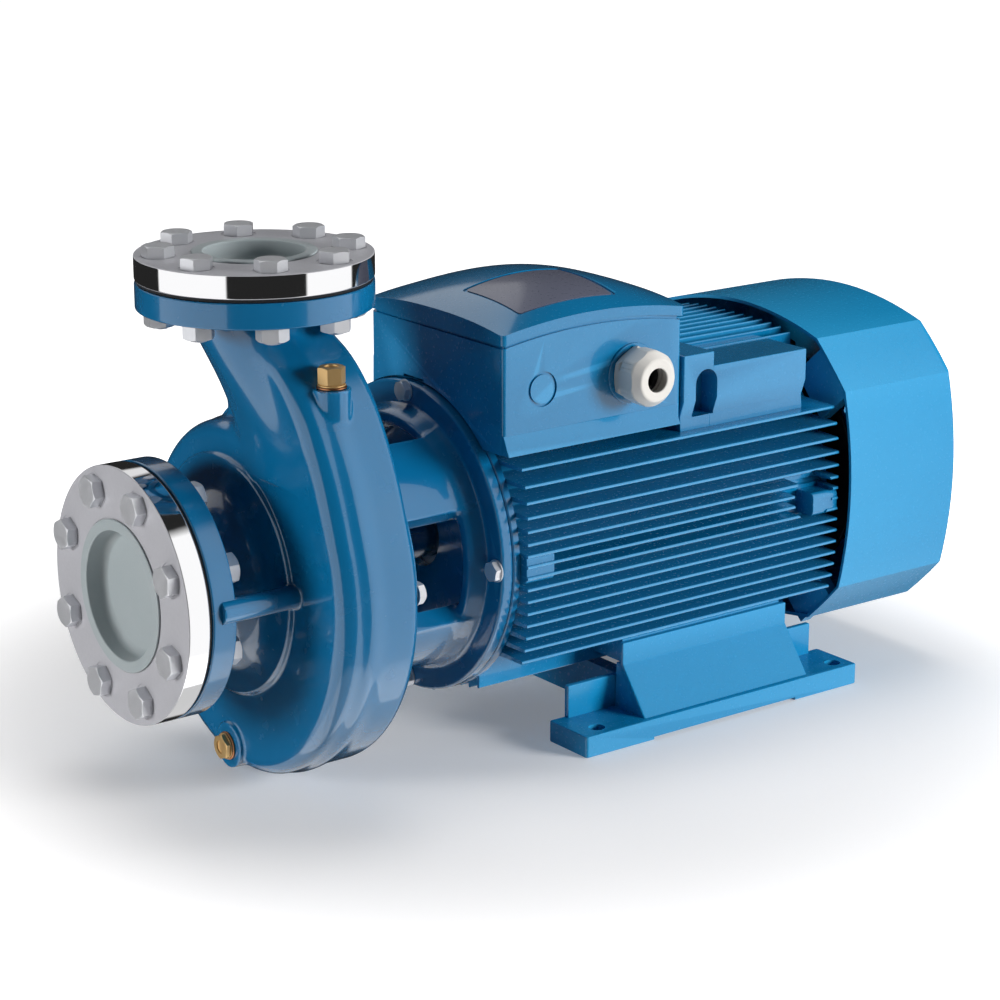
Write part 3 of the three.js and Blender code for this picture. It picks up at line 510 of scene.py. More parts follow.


# Each enamel: colour, paler colour of its painted edge highlight, relief, grain, gloss.
# Each surface: colour, roughness, metallic, tint, grain in features per metre, relief.
CAST_BLUE = enamel("cast_blue_enamel", (0.002, 0.130, 0.295), (0.02, 0.22, 0.46), 0.10, 55, 1.0,
                   slot="blue_enamel")
BLUE = enamel("blue_enamel", (0.002, 0.165, 0.360), (0.02, 0.25, 0.50), 0.0, 300, 0.9)
# A lighter copy of the blue enamel: painted light on the fan cover and the foot.
BLUE_WITH_PAINTED_LIGHT = enamel("light_blue_enamel", (0.004, 0.230, 0.470), (0.03, 0.32, 0.60), 0.02, 300, 0.15)
FACE_STEEL = surface("ground_steel", (0.50, 0.50, 0.53), 0.50, 0.3, 0.05, 300, 0.0, slot="machined_steel")
RIM_STEEL = surface("polished_rim", (0.86, 0.86, 0.87), 0.05, 1.0, 0.02, 160, 0.015)
ZINC = surface("zinc_plate", (0.74, 0.75, 0.78), 0.38, 0.7, 0.03, 300, 0.0)
SHAFT_STEEL = surface("shaft_steel", (0.62, 0.63, 0.65), 0.24, 1.0, 0.05, 300, 0.10, stretch=(0.1, 1, 1))
BRASS = surface("turned_brass", (0.72, 0.47, 0.20), 0.34, 0.7, 0.06, 300, 0.0)
COPPER = surface("copper_ring", (0.62, 0.27, 0.13), 0.35, 1.0, 0.10, 300, 0.10)
WINDING = surface("copper_winding", (0.48, 0.16, 0.05), 0.35, 0.8, 0.15, 600, 0.6, stretch=(1, 1, 8))
FIBRE = surface("gasket_fibre", (0.012, 0.013, 0.015), 0.75, 0.0, 0.2, 700, 0.5)
RUBBER = surface("gland_rubber", (0.006, 0.006, 0.007), 0.55, 0.0, 0.2, 500, 0.2)
IRON = surface("grey_iron", (0.11, 0.105, 0.10), 0.6, 0.6, 0.18, 220, 0.5)
CARBON = surface("seal_carbon", (0.02, 0.02, 0.022), 0.4, 0.0, 0.15, 400, 0.1)
CERAMIC = surface("seal_face", (0.70, 0.67, 0.60), 0.18, 0.0, 0.04, 300, 0.03)
LAMINATED = surface("laminated_steel", (0.18, 0.18, 0.19), 0.45, 0.9, 0.12, 900, 0.8, stretch=(6, 0.2, 0.2))
FAN_PLASTIC = surface("fan_plastic", (0.016, 0.018, 0.022), 0.45, 0.0, 0.15, 350, 0.2)
RESIN = surface("board_resin", (0.045, 0.022, 0.013), 0.4, 0.0, 0.2, 350, 0.2)
GLAND_PLASTIC = surface("gland_plastic", (0.68, 0.66, 0.62), 0.36, 0.0, 0.04, 320, 0.04)
PLATE_PRINT = surface("blank_plate", (0.15, 0.16, 0.22), 0.30, 0.2, 0.10, 300, 0.02, 0.4, slot="blue_enamel")


def cap_plastic():
    """Thin milky polyethylene."""
    material, graph, bsdf = shader("cap_plastic")
    shade = graph.mixed(graph.noise(18), (0.33, 0.38, 0.39), (0.40, 0.44, 0.45))
    graph.link(shade, bsdf.inputs["Base Color"])
    fine = graph.noise(300)
    graph.link(graph.spread(fine, 0.3, 0.7, 0.30, 0.42), bsdf.inputs["Roughness"])
    graph.bump(bsdf, fine, 0.08)
    bsdf.inputs["Subsurface Weight"].default_value = 0.6
    bsdf.inputs["Subsurface Radius"].default_value = (0.006, 0.007, 0.007)
    return Look("cap_plastic", material)


CAP_PLASTIC = cap_plastic()


# ------------------------------------------------------------------ fasteners
def hexagon(across_flats):
    return [polar(across_flats / math.sqrt(3), angle) for angle in ring_of(6)]


def hex_block(across_flats, start, end, place, ends=(True, True)):
    """Hexagon with its corners turned off at the chosen ends."""
    block = prism(hexagon(across_flats), start, end, "x", place)
    corner = across_flats / math.sqrt(3)
    chamfer = (corner - across_flats / 2) * 1.15
    rise = chamfer * 0.62
    flush, clear = 0.01, 0.5  # how far the cone stands off a chamfered end and a plain one
    profile = band(start - clear, end + clear, 0, corner + 1)
    if ends[0]:
        profile[0:2] = [(start - flush, 0), (start - flush, corner - chamfer), (start + rise, corner + 0.2)]
    if ends[1]:
        profile[-2:] = [(end - rise, corner + 0.2), (end + flush, corner - chamfer), (end + flush, 0)]
    return kept_inside(block, revolved(profile, place, 72))


def threaded_rod(radius, pitch, start, end, place):
    """Rod with a cut thread and a chamfered end."""
    around, rows_per_turn, chamfer = 32, 8, 0.6
    rows = int((end - start) / pitch * rows_per_turn)
    rings = []
    for row in range(rows + 1):
        x = start + (end - start) * row / rows
        taper = min(1, (end - x) / pitch)
        points = []
        for i in range(around):
            phase = ((x - start) / pitch + i / around) % 1
            depth = THREAD_DEPTH * pitch * abs(2 * phase - 1)
            points.append((x, *polar(radius - max(depth, (1 - taper) * chamfer * pitch), 360 * i / around)))
        rings.append(points)
    return lofted(rings, place)


def fastener(place, across_flats, head, shank, length, nut_at=None, nut=0.0, pitch=2.0):
    """Hexagon bolt, with its nut if it has one: the head ends at 0 and the shank runs along +X."""
    bolt = hex_block(across_flats, -head, 0, place, (True, False))
    thread_from = (nut_at if nut_at else length * 0.45) - 1
    parts = [rod(shank, -1, thread_from + 0.5, place, 32),
             threaded_rod(shank, pitch, thread_from, length, place)]
    if nut_at:
        parts.append(hex_block(across_flats, nut_at, nut_at + nut, place))
    return joined(bolt, *parts)


def flange_bolts(label, axis, direction):
    """The eight bolts of one flange, each turned as the spanner left it."""
    spin = random.Random(label)
    head, past_nut = FLANGE_BOLT["head"], FLANGE_BOLT["past_nut"]
    for i in range(1, 9):
        node = f"{label}_bolt_{i}"
        low, high = node_box(node)
        seat = (low + high) / 2
        seat[axis] = low[axis] + head if direction[axis] > 0 else high[axis] - head
        grip = (high[axis] - low[axis]) - (head + past_nut)
        bolt = fastener(towards(seat, direction, spin.uniform(0, 60)), FLANGE_BOLT["flats"], head,
                        FLANGE_BOLT["shank"], grip + past_nut, grip, FLANGE_BOLT["nut"])
        finished(bolt, node, "casing", ZINC, sharp=30)


def small_bolts(label, head_side, size):
    """Bolts about the shaft whose heads face one way along it, each on a washer."""
    spin = random.Random(label)
    across_flats, head, shank = size["flats"], size["head"], size["shank"]
    washer_radius, washer_thickness = across_flats * 0.62, 1.1
    for i in range(1, 5):
        node = f"{label}_{i}"
        low, high = node_box(node)
        seat = (low + high) / 2
        length = high.x - low.x - head
        seat.x = low.x + head if head_side < 0 else high.x - head
        place = towards(seat, (-head_side, 0, 0), spin.uniform(0, 60))
        bolt = fastener(place, across_flats, head, shank, length, pitch=1.5)
        washer_place = place @ Matrix.Translation((-washer_thickness, 0, 0))
        washer = ring(-0.1, washer_thickness, shank - 1, washer_radius, 0.3, 2, washer_place, 48)
        finished(joined(bolt, washer), node, "casing", ZINC, sharp=30)


# ------------------------------------------------------------------ pipe connections
def bolt_holes(size, start, end, base, radius=FLANGE_BOLT["hole"]):
    return rods(radius, start, end, size["circle"], ring_of(8, 22.5), base)


def rim_painted(piece, centre, axis, radius):
    """Gives the outer rim the second material and the faces the first."""
    for face in piece.data.polygons:
        arm = face.center / MM - START - centre
        arm[axis] = 0
        if arm.length > radius - 0.8 and abs(face.normal[axis]) < 0.5:
            face.material_index = 1


def counter_flange(label, size, base, axis):
    """Loose steel flange with seats turned into its face for the cap and the bolt heads."""
    face = -GASKET - COUNTER_THICKNESS
    flange = ring(face, -GASKET, size["pipe"], size["radius"], [0.6, 1.2, 1.2, 0.6], 4, base, 192)
    cut(flange, *bolt_holes(size, face - 1, 1, base),
        rod(size["pipe"] + 8.3, face - 1, face + RECESS, base, 128),
        *bolt_holes(size, face - 1, face + RECESS, base, HEAD_SPOT))
    node = f"{label}_counter_flange"
    finished(flange, node, "casing", FACE_STEEL, second=RIM_STEEL)
    rim_painted(flange, middle(node), axis, size["radius"])


def gasket(label, size, base):
    sheet = ring(-GASKET + 0.2, -0.2, size["pipe"] + 1, size["radius"] - 2, 0.4, 2, base, 128)
    cut(sheet, *bolt_holes(size, -GASKET - 1, 1, base))
    finished(sheet, f"{label}_gasket", "casing", FIBRE)


def transport_cap(label, size, base):
    """Dished push-in cap: a rolled rim, a drafted wall and a flat bottom."""
    outer = size["pipe"] - 0.4
    rim = size["pipe"] + 7.5
    corners = [(17, 0), (17, outer - 1), (-0.2, outer), (-0.2, rim),
               (-2.4, rim), (-2.4, outer - 2), (15, outer - 3.2), (15, 0)]
    place = base @ Matrix.Translation((-GASKET - COUNTER_THICKNESS + RECESS, 0, 0))
    cap = revolved(rounded(corners, [0, 6, 0.3, 1.1, 1.1, 1.4, 7, 0], 6), place, 128)
    finished(cap, f"{label}_cap", f"{label}_cap", CAP_PLASTIC)


def connections():
    for label, size, base, axis in (("suction", SUCTION, SUCTION_BASE, 0),
                                    ("discharge", DISCHARGE, DISCHARGE_BASE, 2)):
        counter_flange(label, size, base, axis)
        gasket(label, size, base)
        transport_cap(label, size, base)
    flange_bolts("suction", 0, (1, 0, 0))
    flange_bolts("discharge", 2, (0, 0, -1))


# ------------------------------------------------------------------ volute casing
def smooth_rise(value, start, end):
    part = np.clip((value - start) / (end - start), 0, 1)
    return part * part * (3 - 2 * part)


def scroll_radius(angle):
    """Outside of the scroll at an angle from the top towards +Y, in degrees from 0 to 360."""
    grown = SCROLL["start"] + (SCROLL["end"] - SCROLL["start"]) * smooth_rise(angle, 70, 205)
    return grown - (SCROLL["end"] - SCROLL["start"]) * smooth_rise(angle, 285, 330)


def throat_radius(angle):
    """Outside of the throat: it leaves the scroll at the near side and rises to the neck."""
    return SCROLL["end"] + 30 * smooth_rise(angle, 288, 342) + 12 * smooth_rise(angle, 310, 352)


def casing_outline(y, z, inset, line, edge):
    """Field of scroll and throat, seen along X; line is the inner side of the throat."""
    radius = np.hypot(y, z)
    angle = np.degrees(np.arctan2(y, z)) % 360
    turned = np.where(angle < 40, 360.0, angle)
    scroll = radius - scroll_radius(angle) + inset
    throat = np.maximum(radius - throat_radius(turned) + inset, half_plane(y, z, *line) + inset)
    throat = np.maximum(throat, z - DISCHARGE_FACE + FLANGE + 2)
    disc = radius - SCROLL["start"] + inset
    return np.minimum(melt(disc, throat, edge), scroll)


FRONT_LINE = ((6, 165), (40, 226))
REAR_LINE = ((36, 160), (48, 226))
NECK_HEIGHTS = np.array([100.0, 150.0, 185.0, 210.0, 240.0])
NECK_CENTRE = np.polyfit(NECK_HEIGHTS, [-74, -48, -22, -5, 0], 3)
NECK_HALF_X = np.polyfit(NECK_HEIGHTS, [36, 39, 47, 55, 60], 3)
NECK_HALF_Y = np.polyfit(NECK_HEIGHTS, [62, 60, 58, 58, 60], 3)
NECK_WIDEST = 66


def neck_field(x, y, z, inset):
    height = np.clip(z, NECK_HEIGHTS[0], NECK_HEIGHTS[-1])
    half_x = np.polyval(NECK_HALF_X, height) - inset
    half_y = np.polyval(NECK_HALF_Y, height) - inset
    centre = np.polyval(NECK_CENTRE, height)
    ellipse = (np.hypot(x / half_x, (y - centre) / half_y) - 1) * np.minimum(half_x, half_y)
    return np.maximum(ellipse, np.maximum(NECK_HEIGHTS[0] - z, z - (DISCHARGE_FACE - 6)))


def casing_field(x, y, z):
    """The casting's outside, without its flanges."""
    radius = np.hypot(y, z)
    front = slab(casing_outline(y, z, 0, FRONT_LINE, 26), x, SCROLL["front"], 6, 15)
    rear = slab(casing_outline(y, z, 0, REAR_LINE, 20), x, -14, SCROLL["back"], 9)
    shape = melt(melt(front, rear, 14), neck_field(x, y, z, 0), 16)
    step = slab(radius - 104, x, SCROLL["front"] - 4, 0, 2.5)
    bell = slab(radius - 64, x, SUCTION_FACE + 4, 0, 2)
    shape = melt(shape, melt(step, bell, 58), 5)
    shape = melt(shape, slab(radius - PLATE_RADIUS, x, SCROLL["back"] - 16, SCROLL["back"], 2.5), 10)
    fill_boss = slab(np.hypot(x - FILL.x, y - FILL.y) - 16, z, 100, FILL_SEAT, 1.2)
    tap = np.maximum(np.hypot(y + 106, z - 7) - 10, np.maximum(SUCTION_FACE + 8 - x, x - 4))
    drain_boss = slab(np.hypot(y - DRAIN.y, z - (DRAIN.z - SHAFT)) - 20, x, DRAIN_SEAT, 10, 1.5)
    return melt(melt(melt(shape, fill_boss, 2.5), tap, 4), drain_boss, 6)


def chamber_field(x, y, z):
    """The water way inside: impeller chamber, scroll and throat."""
    inset = SCROLL["wall"]
    outline = casing_outline(y, z, inset, FRONT_LINE, 20)
    chamber = slab(outline, x, SCROLL["front"] + 11, SCROLL["back"] - 8, 10)
    return melt(chamber, neck_field(x, y, z, inset + 6), 12)


def volute():
    def field(x, y, z):
        return np.maximum(casing_field(x, y, z), -chamber_field(x, y, z))

    across = SCROLL["end"] + 2
    body = cast(field, (SUCTION_FACE, -across, -across), (NECK_WIDEST, across, DISCHARGE_FACE))
    sides = (SUCTION, SUCTION_BASE), (DISCHARGE, DISCHARGE_BASE)
    flanges = [ring(0, FLANGE, 0, size["radius"], [0, 1.6, 1.6, 0], 4, base, 192) for size, base in sides]
    collar = [(FLANGE - 1, 0), (FLANGE - 1, 70), (FLANGE + 2, 66.5), (FLANGE + 7, 63.5), (FLANGE + 7, 0)]
    collars = [revolved(rounded(collar, [0, 0, 6, 0, 0], 5), base, 96) for _, base in sides]
    joined(body, *flanges, *collars)
    cut(body,
        rod(SUCTION["bore"], -1, 95, SUCTION_BASE, 96),
        rod(DISCHARGE["bore"], -1, 60, DISCHARGE_BASE, 96),
        rod(SPIGOT + 0.5, 30, SCROLL["back"] + 1, ON_SHAFT, 128),
        *bolt_holes(SUCTION, -1, FLANGE + 6, SUCTION_BASE),
        *bolt_holes(DISCHARGE, -1, FLANGE + 6, DISCHARGE_BASE),
        rod(PLUG_BORE, -1, 18, towards(FILL_POINT, (0, 0, -1))),
        rod(PLUG_BORE, -1, 18, towards(DRAIN_POINT, (1, 0, 0))),
        *rods(BOLT_BORE, SCROLL["back"] - 14, SCROLL["back"] + 1, CASING_BOLT["circle"]))
    finished(body, "volute_casing", "casing", CAST_BLUE, sharp=42)


def plug(label, place, height):
    """Brass hexagon plug: washer face, chamfered head with a dimple, threaded end; and its ring."""
    body = hex_block(20, -height, -3.4, place)
    collar = ring(-3.6, -2.2, 0, 11.6, [0, 0.4, 0.4, 0], 3, place, 64)
    joined(body, collar, threaded_rod(*PLUG_THREAD, -2.4, 12, place))
    dimple = [(-height - 1, 0), (-height - 1, 6.2), (-height + 1.2, 5.4), (-height + 2.2, 0)]
    cut(body, revolved(dimple, place, 48))
    finished(body, label, label, BRASS, sharp=30)
    washer = ring(-2, -0.2, PLUG_BORE, 12.5, 0.7, 4, place, 64)
    finished(washer, f"{label}_washer", f"{label}_seat", COPPER)


def plugs():
    fill_top, drain_front = node_box("fill_plug")[1].z, node_box("drain_plug")[0].x
    plug("fill_plug", towards(FILL_POINT, (0, 0, -1), 20), fill_top - FILL_POINT.z)
    plug("drain_plug", towards(DRAIN_POINT, (1, 0, 0), 8), DRAIN_POINT.x - drain_front)


# ------------------------------------------------------------------ lantern bracket
def lantern_field(x, y, z):
    """Casing plate, seal hub, four arms and a dished ring, run together by fillets."""
    radius = np.hypot(y, z)
    plate = slab(radius - PLATE_RADIUS, x, PLATE_FACE, PLATE_BACK, 2.5)
    hub = slab(np.abs(radius - 46) - 6, x, PLATE_FACE, 92, 2)
    core = slab(radius - 50, x, PLATE_FACE, PLATE_BACK, 2)
    outer_ring = slab(np.abs(radius - 122) - 18, x, RING["front"], RING["back"], 2.5)
    dish = slab(np.abs(radius - 108) - 9 - 0.4 * np.clip(x - 146, -12, 4), x, 136, RING["back"] - 4, 3)
    quarter = (np.degrees(np.arctan2(y, z)) % 90) - 45
    arm = np.maximum(np.abs(radius - 106) - 8, np.abs(np.radians(quarter)) * radius - 38)
    arms = slab(arm, x, PLATE_FACE + 4, RING["back"] - 3, 3)
    shape = melt(melt(melt(plate, core, 4), hub, 10), arms, 14)
    return melt(melt(outer_ring, dish, 6), shape, 12)


def lantern():
    across = PLATE_RADIUS
    body = cast(lantern_field, (PLATE_FACE, -across, -across), (RING["back"], across, across))
    joined(body, ring(SPIGOT_FACE, PLATE_FACE + 2, 24, SPIGOT, [0, 1, 0, 0], 3, ON_SHAFT, 128))
    cut(body, rod(26, 20, 100, ON_SHAFT, 96), rod(30.5, 33, 48.2, ON_SHAFT, 96),
        *rods(BOLT_BORE + 0.2, PLATE_FACE - 1, PLATE_FACE + 17, CASING_BOLT["circle"]),
        *rods(BOLT_BORE, 140, 170, TIE_BOLT["circle"]))
    finished(body, "lantern_bracket", "casing", CAST_BLUE, sharp=42)


# ------------------------------------------------------------------ motor
def side_fin_heights():
    """Heights of the side fins above the shaft: closest at the middle, wider apart at the corners."""
    lowest, highest, centre = -8, 7, 2.6
    return [centre + (9.2 * k + 0.41 * k * k if k > 0 else 10 * k - 0.12 * k * k)
            for k in range(lowest, highest + 1)]


def fin_outline(offset, reach):
    """Corners of one fin, root to tip and back, as (across, out); thicker at its root."""
    tip = reach - 10 * (offset / 90) ** 4
    low, high = offset - FIN_ROOT, offset + FIN_ROOT
    at_root = [math.sqrt(BARREL ** 2 - edge ** 2) for edge in (low, high)]
    return [(low, at_root[0]), (offset - FIN_EDGE, tip), (offset + FIN_EDGE, tip), (high, at_root[1])]


def barrel_outline():
    side = [point for height in side_fin_heights() for point in fin_outline(height, FIN_TIP)]
    places = [13 * k for k in range(-6, 7)]
    top = [point for place in places for point in fin_outline(place, HOUSING_TOP)]
    bottom = [point for place in places for point in fin_outline(place, 132)]
    corners = [(out, across) for across, out in side]
    corners += [(across, out) for across, out in reversed(top)]
    corners += [(-out, across) for across, out in reversed(side)]
    corners += [(across, -out) for across, out in bottom]
    return rounded(corners, [1.6, 1.3, 1.3, 1.6] * (len(corners) // 4), 3)


def flank(start, end, high):
    """Cast flank beside the terminal box: flat face, sloped lower edge."""
    near, top = HOUSING_FLANK, high - SHAFT
    outline = [(near, top), (near, 116), (near + 5, 102), (near + 4, 88), (-66, 88), (-66, top)]
    return bevelled(prism(outline, start, end, "x", ON_SHAFT), 1.2)


def keyhole(start, end, low, high, depth):
    """Pocket with a round top, open at its lower end."""
    centre, half = (start + end) / 2, (end - start) / 2
    arc = [(centre + half * math.cos(math.radians(a)), high - half + half * math.sin(math.radians(a)))
           for a in range(0, 181, 15)]
    outline = [(end, low), *arc, (start, low)]
    return prism(outline, HOUSING_FLANK - 8, HOUSING_FLANK + depth, "y", ON_SHAFT)


def lug(angle, start, end, reach, half):
    """Threaded lug on the barrel for a long bolt: rounded on its outer side."""
    outline = rounded([(-half, 112), (half, 112), (half, reach), (-half, reach)], [0, 0, 5, 5], 5)
    return bevelled(prism(outline, start, end, "x", rolled(-angle)), 0.8)


def motor_housing():
    front, back = HOUSING_LOW.x, HOUSING_HIGH.x
    body = prism(barrel_outline(), front, back, "x", ON_SHAFT)
    rear_seat = Matrix.Translation((back - 30, 0, SHAFT + 10))
    sideways = [rear_seat @ Matrix.Rotation(math.radians(turn), 4, "Z") for turn in (90, -90)]
    cut(body, *[rod(24, -170, -127, place, 64) for place in sideways])
    under_box = prism(rectangle(BOX_LOW.y - 30, BOX_HIGH.y + 3, BOX_UNDER - SHAFT, 200), front - 12,
                      BOX_HIGH.x + 0.6, "x", ON_SHAFT)
    cut(body, cut(under_box, rod(BARREL, front - 20, back, ON_SHAFT, 128)))
    joined(body, flank(BOX_HIGH.x + 1, 392, 338), flank(391, 503, 325),
           *[lug(angle, front, front + 30, 148 if angle else 141, 13) for angle in ring_of(4)],
           *[lug(angle, back - 30, back, 149, 11) for angle in (90, 270)])
    pad = rounded(rectangle(-119.5, -60, -118, -96), 2, 3)
    sides = [ON_SHAFT @ Matrix.Scale(side, 4, (0, 1, 0)) for side in (1, -1)]
    joined(body, *[prism(pad, 302, 490, "x", side) for side in sides])
    cut(body, rod(115, front - 1, back + 1, ON_SHAFT, 128), keyhole(371, 396, 100, 143, 22),
        *rods(BOLT_BORE, front - 1, front + 26, TIE_BOLT["circle"]))
    finished(body, "motor_housing", "casing", BLUE, sharp=40)


def end_shields():
    low, high = node_box("front_end_shield")
    inner = HOUSING_LOW.x + 2
    face = HOUSING_LOW.x - 0.2
    profile = [(low.x, 30), (low.x, 140), (face, 140), (face, 114.4), (inner + 10, 114.4), (inner + 10, 104),
               (inner, 96), (inner, 62), (high.x, 62), (high.x, 50.3), (inner, 50.3), (inner, 30)]
    front = revolved(rounded(profile, [1, 1.6, 1.2, 0.5, 0.8, 3, 6, 3, 1, 0.5, 0.5, 1], 4), ON_SHAFT, 128)
    cut(front, *rods(BOLT_BORE, low.x - 1, HOUSING_LOW.x + 1, TIE_BOLT["circle"]))
    finished(front, "front_end_shield", "casing", CAST_BLUE)
    low, high = node_box("rear_end_shield")
    face = HOUSING_HIGH.x + 0.2
    profile = [(high.x, 24), (high.x, 128), (face, 128), (face, 114.4), (face - 12, 114.4), (face - 12, 104),
               (face, 96), (face, 56), (low.x, 56), (low.x, 40.3), (face, 40.3), (face, 24)]
    rear = revolved(rounded(profile, [1, 2, 0.5, 0.5, 0.8, 3, 6, 3, 1, 0.5, 0.5, 1], 4), ON_SHAFT, 128)
    finished(rear, "rear_end_shield", "casing", BLUE)


# ------------------------------------------------------------------ fan cover
def cover_outline(inset):
    """Crowned top, two creased shoulders a side and gently bowed sides."""
    side, crease, shoulder = 161 - inset, 149 - inset, 109 - inset / 2
    half = curve((crease, -86), (side + 12, 8), (crease, 102), 14)
    half += curve((crease, 102), ((crease + shoulder) / 2 + 1, 124.5), (shoulder, 145 - inset), 3)
    half += curve((shoulder, 145 - inset), (shoulder / 2, 163 - inset), (0, 163 - inset), 9)
    half += [(0, 163 - inset)]
    mirrored = [(-y, z) for y, z in reversed(half[:-1])]
    below = curve((-crease, -86), (-(crease + shoulder) / 2 - 1, -107), (-shoulder, -126 + inset), 3)[1:]
    below += curve((-shoulder, -126 + inset), (0, -146 + inset), (shoulder, -126 + inset), 14)
    below += curve((shoulder, -126 + inset), ((crease + shoulder) / 2 + 1, -107), (crease, -86), 3)
    return half + mirrored + below


def cover_solid(inset, start, end, edge):
    """The cover's outline from start to end, with a rounded rear edge."""
    stations = [(start, 0), (end - edge, 0)]
    for angle in (math.radians(18 * step) for step in range(1, 6)):
        stations.append((end - edge + edge * math.sin(angle), edge * (1 - math.cos(angle))))
    return lofted([[(x, y, z) for y, z in cover_outline(inset + more)] for x, more in stations], ON_SHAFT)


def fan_cover():
    front, back = COVER_LOW.x, COVER_HIGH.x
    cover = cut(cover_solid(0, front, back, 8), cover_solid(3, front - 5, back - 3, 6))
    slot_rows = ((rounded(rectangle(-3, 3, 34, 60), 2.9, 4), ring_of(20)),
                 (rounded(rectangle(-3.4, 3.4, 66, 78), 3.3, 4), ring_of(32, 5)))
    cut(cover, *[prism(slot, back - 12, back + 1, "x", rolled(angle))
                 for slot, angles in slot_rows for angle in angles])
    brackets = ((48.2, 175.5), (-48.2, 175.5), (135, 163.5), (-135, 163.5))
    joined(cover, *[prism(rectangle(-26, 26, 132, reach), front + 2, front + 14, "x", rolled(-angle))
                    for angle, reach in brackets])
    finished(cover, "fan_cover", "casing", BLUE_WITH_PAINTED_LIGHT, sharp=14)


# ------------------------------------------------------------------ terminal box
def joint_height(x):
    box_middle = (BOX_LOW.x + BOX_HIGH.x) / 2
    return JOINT_END + JOINT_RISE * (1 - ((x - box_middle) / (BOX_HIGH.x - box_middle)) ** 2)


def height_solid(floor, top, cells=96):
    """Solid between two height fields over the box's plan and a little more."""
    xs = np.linspace(BOX_LOW.x - 6, BOX_HIGH.x + 6, cells + 1)
    ys = np.linspace(BOX_NEAR - 6, BOX_HIGH.y + 6, cells + 1)
    columns, rows = len(xs), len(ys)
    layer = columns * rows
    vertices = [(x, y, floor(x, y)) for x in xs for y in ys] + [(x, y, top(x, y)) for x in xs for y in ys]
    faces = []
    for i in range(columns - 1):
        for j in range(rows - 1):
            a = i * rows + j
            faces.append([a, a + 1, a + rows + 1, a + rows])
            faces.append([layer + v for v in (a, a + rows, a + rows + 1, a + 1)])
    border = [i * rows for i in range(columns)] + [(columns - 1) * rows + j for j in range(1, rows)]
    border += [i * rows + rows - 1 for i in reversed(range(columns - 1))] + list(reversed(range(1, rows - 1)))
    for a, b in zip(border, border[1:] + border[:1]):
        faces.append([a, b, layer + b, layer + a])
    return build("height", vertices, faces)


def plan(grow, radius, low, high=440):
    """The box's outline seen from above, larger by grow on every side, from low to high."""
    corners = rectangle(BOX_LOW.x - grow, BOX_HIGH.x + grow, BOX_NEAR - grow, BOX_HIGH.y + grow)
    return prism(rounded(corners, radius, 6), low, high, "z")


def below_joint(drop):
    """Everything under the joint between box and lid, lowered by drop."""
    stations = np.linspace(BOX_LOW.x - 20, BOX_HIGH.x + 20, 41)
    outline = [(x, joint_height(x) - drop) for x in stations] + [(stations[-1], 200), (stations[0], 200)]
    return prism(outline, BOX_LOW.y - 20, BOX_HIGH.y + 20, "y")


def terminal_box():
    body = kept_inside(plan(0, 4, BOX_LOW.z, 400), below_joint(3.2))
    lip = kept_inside(plan(-2.2, 3, 340, 400), below_joint(0.0))
    skirt_outline = [(BOX_NEAR + 3, 296), (BOX_NEAR, 296), (BOX_NEAR - 5, 284.5), (BOX_NEAR - 8, 279),
                     (BOX_NEAR + 3, 279)]
    skirt = bevelled(prism(skirt_outline, BOX_LOW.x + 0.5, BOX_HIGH.x - 6), 0.8)
    gland_seat = towards(Vector((GLAND.x, BOX_NEAR - 2, GLAND.z)), (0, -1, 0))
    joined(body, lip, skirt, ring(-6, 0, 0, 27, [0, 0, 1, 0], 4, gland_seat))
    well = rounded(rectangle(BOX_LOW.x + 50, BOX_HIGH.x - 6, BOX_NEAR + 30, BOX_HIGH.y - 6), 5, 4)
    knockout = towards(Vector((KNOCKOUT["x"], BOX_NEAR, KNOCKOUT["z"])), (0, -1, 0))
    lug_room = rectangle(-15, 15, BOX_LOW.z - SHAFT - 1, 143)
    cut(body, plan(-6, 5, BOX_LOW.z + 46, 420), prism(well, BOX_LOW.z + 26, 400, "z"),
        revolved(band(-KNOCKOUT["depth"], 4, KNOCKOUT["inner"], KNOCKOUT["outer"]), knockout, 64),
        rod(BARREL + 0.6, BOX_LOW.x - 1, BOX_HIGH.x + 1, ON_SHAFT, 128),
        rod(RING["radius"] + 1.5, BOX_LOW.x - 1, HOUSING_LOW.x + 0.5, ON_SHAFT, 128),
        prism(lug_room, BOX_LOW.x - 1, HOUSING_LOW.x + 32, "x", ON_SHAFT),
        rod(GLAND_THREAD[0] + 0.4, -30, 6, gland_seat, 64))
    bevelled(body, 0.7, 50)
    finished(body, "terminal_box", "casing", BLUE, sharp=32)


def lid_top(x, y):
    """Top of the lid: an edge that follows the joint, then a dome crowned in the middle."""
    base = joint_height(x)
    across = abs(2 * (y - BOX_NEAR + LID_OVERHANG) / (BOX_HIGH.y - BOX_NEAR + 2 * LID_OVERHANG) - 1)
    crown = LID_END + (LID_MIDDLE - LID_END) * (base - JOINT_END) / JOINT_RISE
    return base + LID_EDGE + (crown - LID_EDGE) * (1 - min(across, 1) ** 2.4)


def label_outline(inset, radius):
    (low_x, high_x), (low_y, high_y) = LABEL["x"], LABEL["y"]
    return rounded(rectangle(low_x + inset, high_x - inset, low_y + inset, high_y - inset), radius, 5)


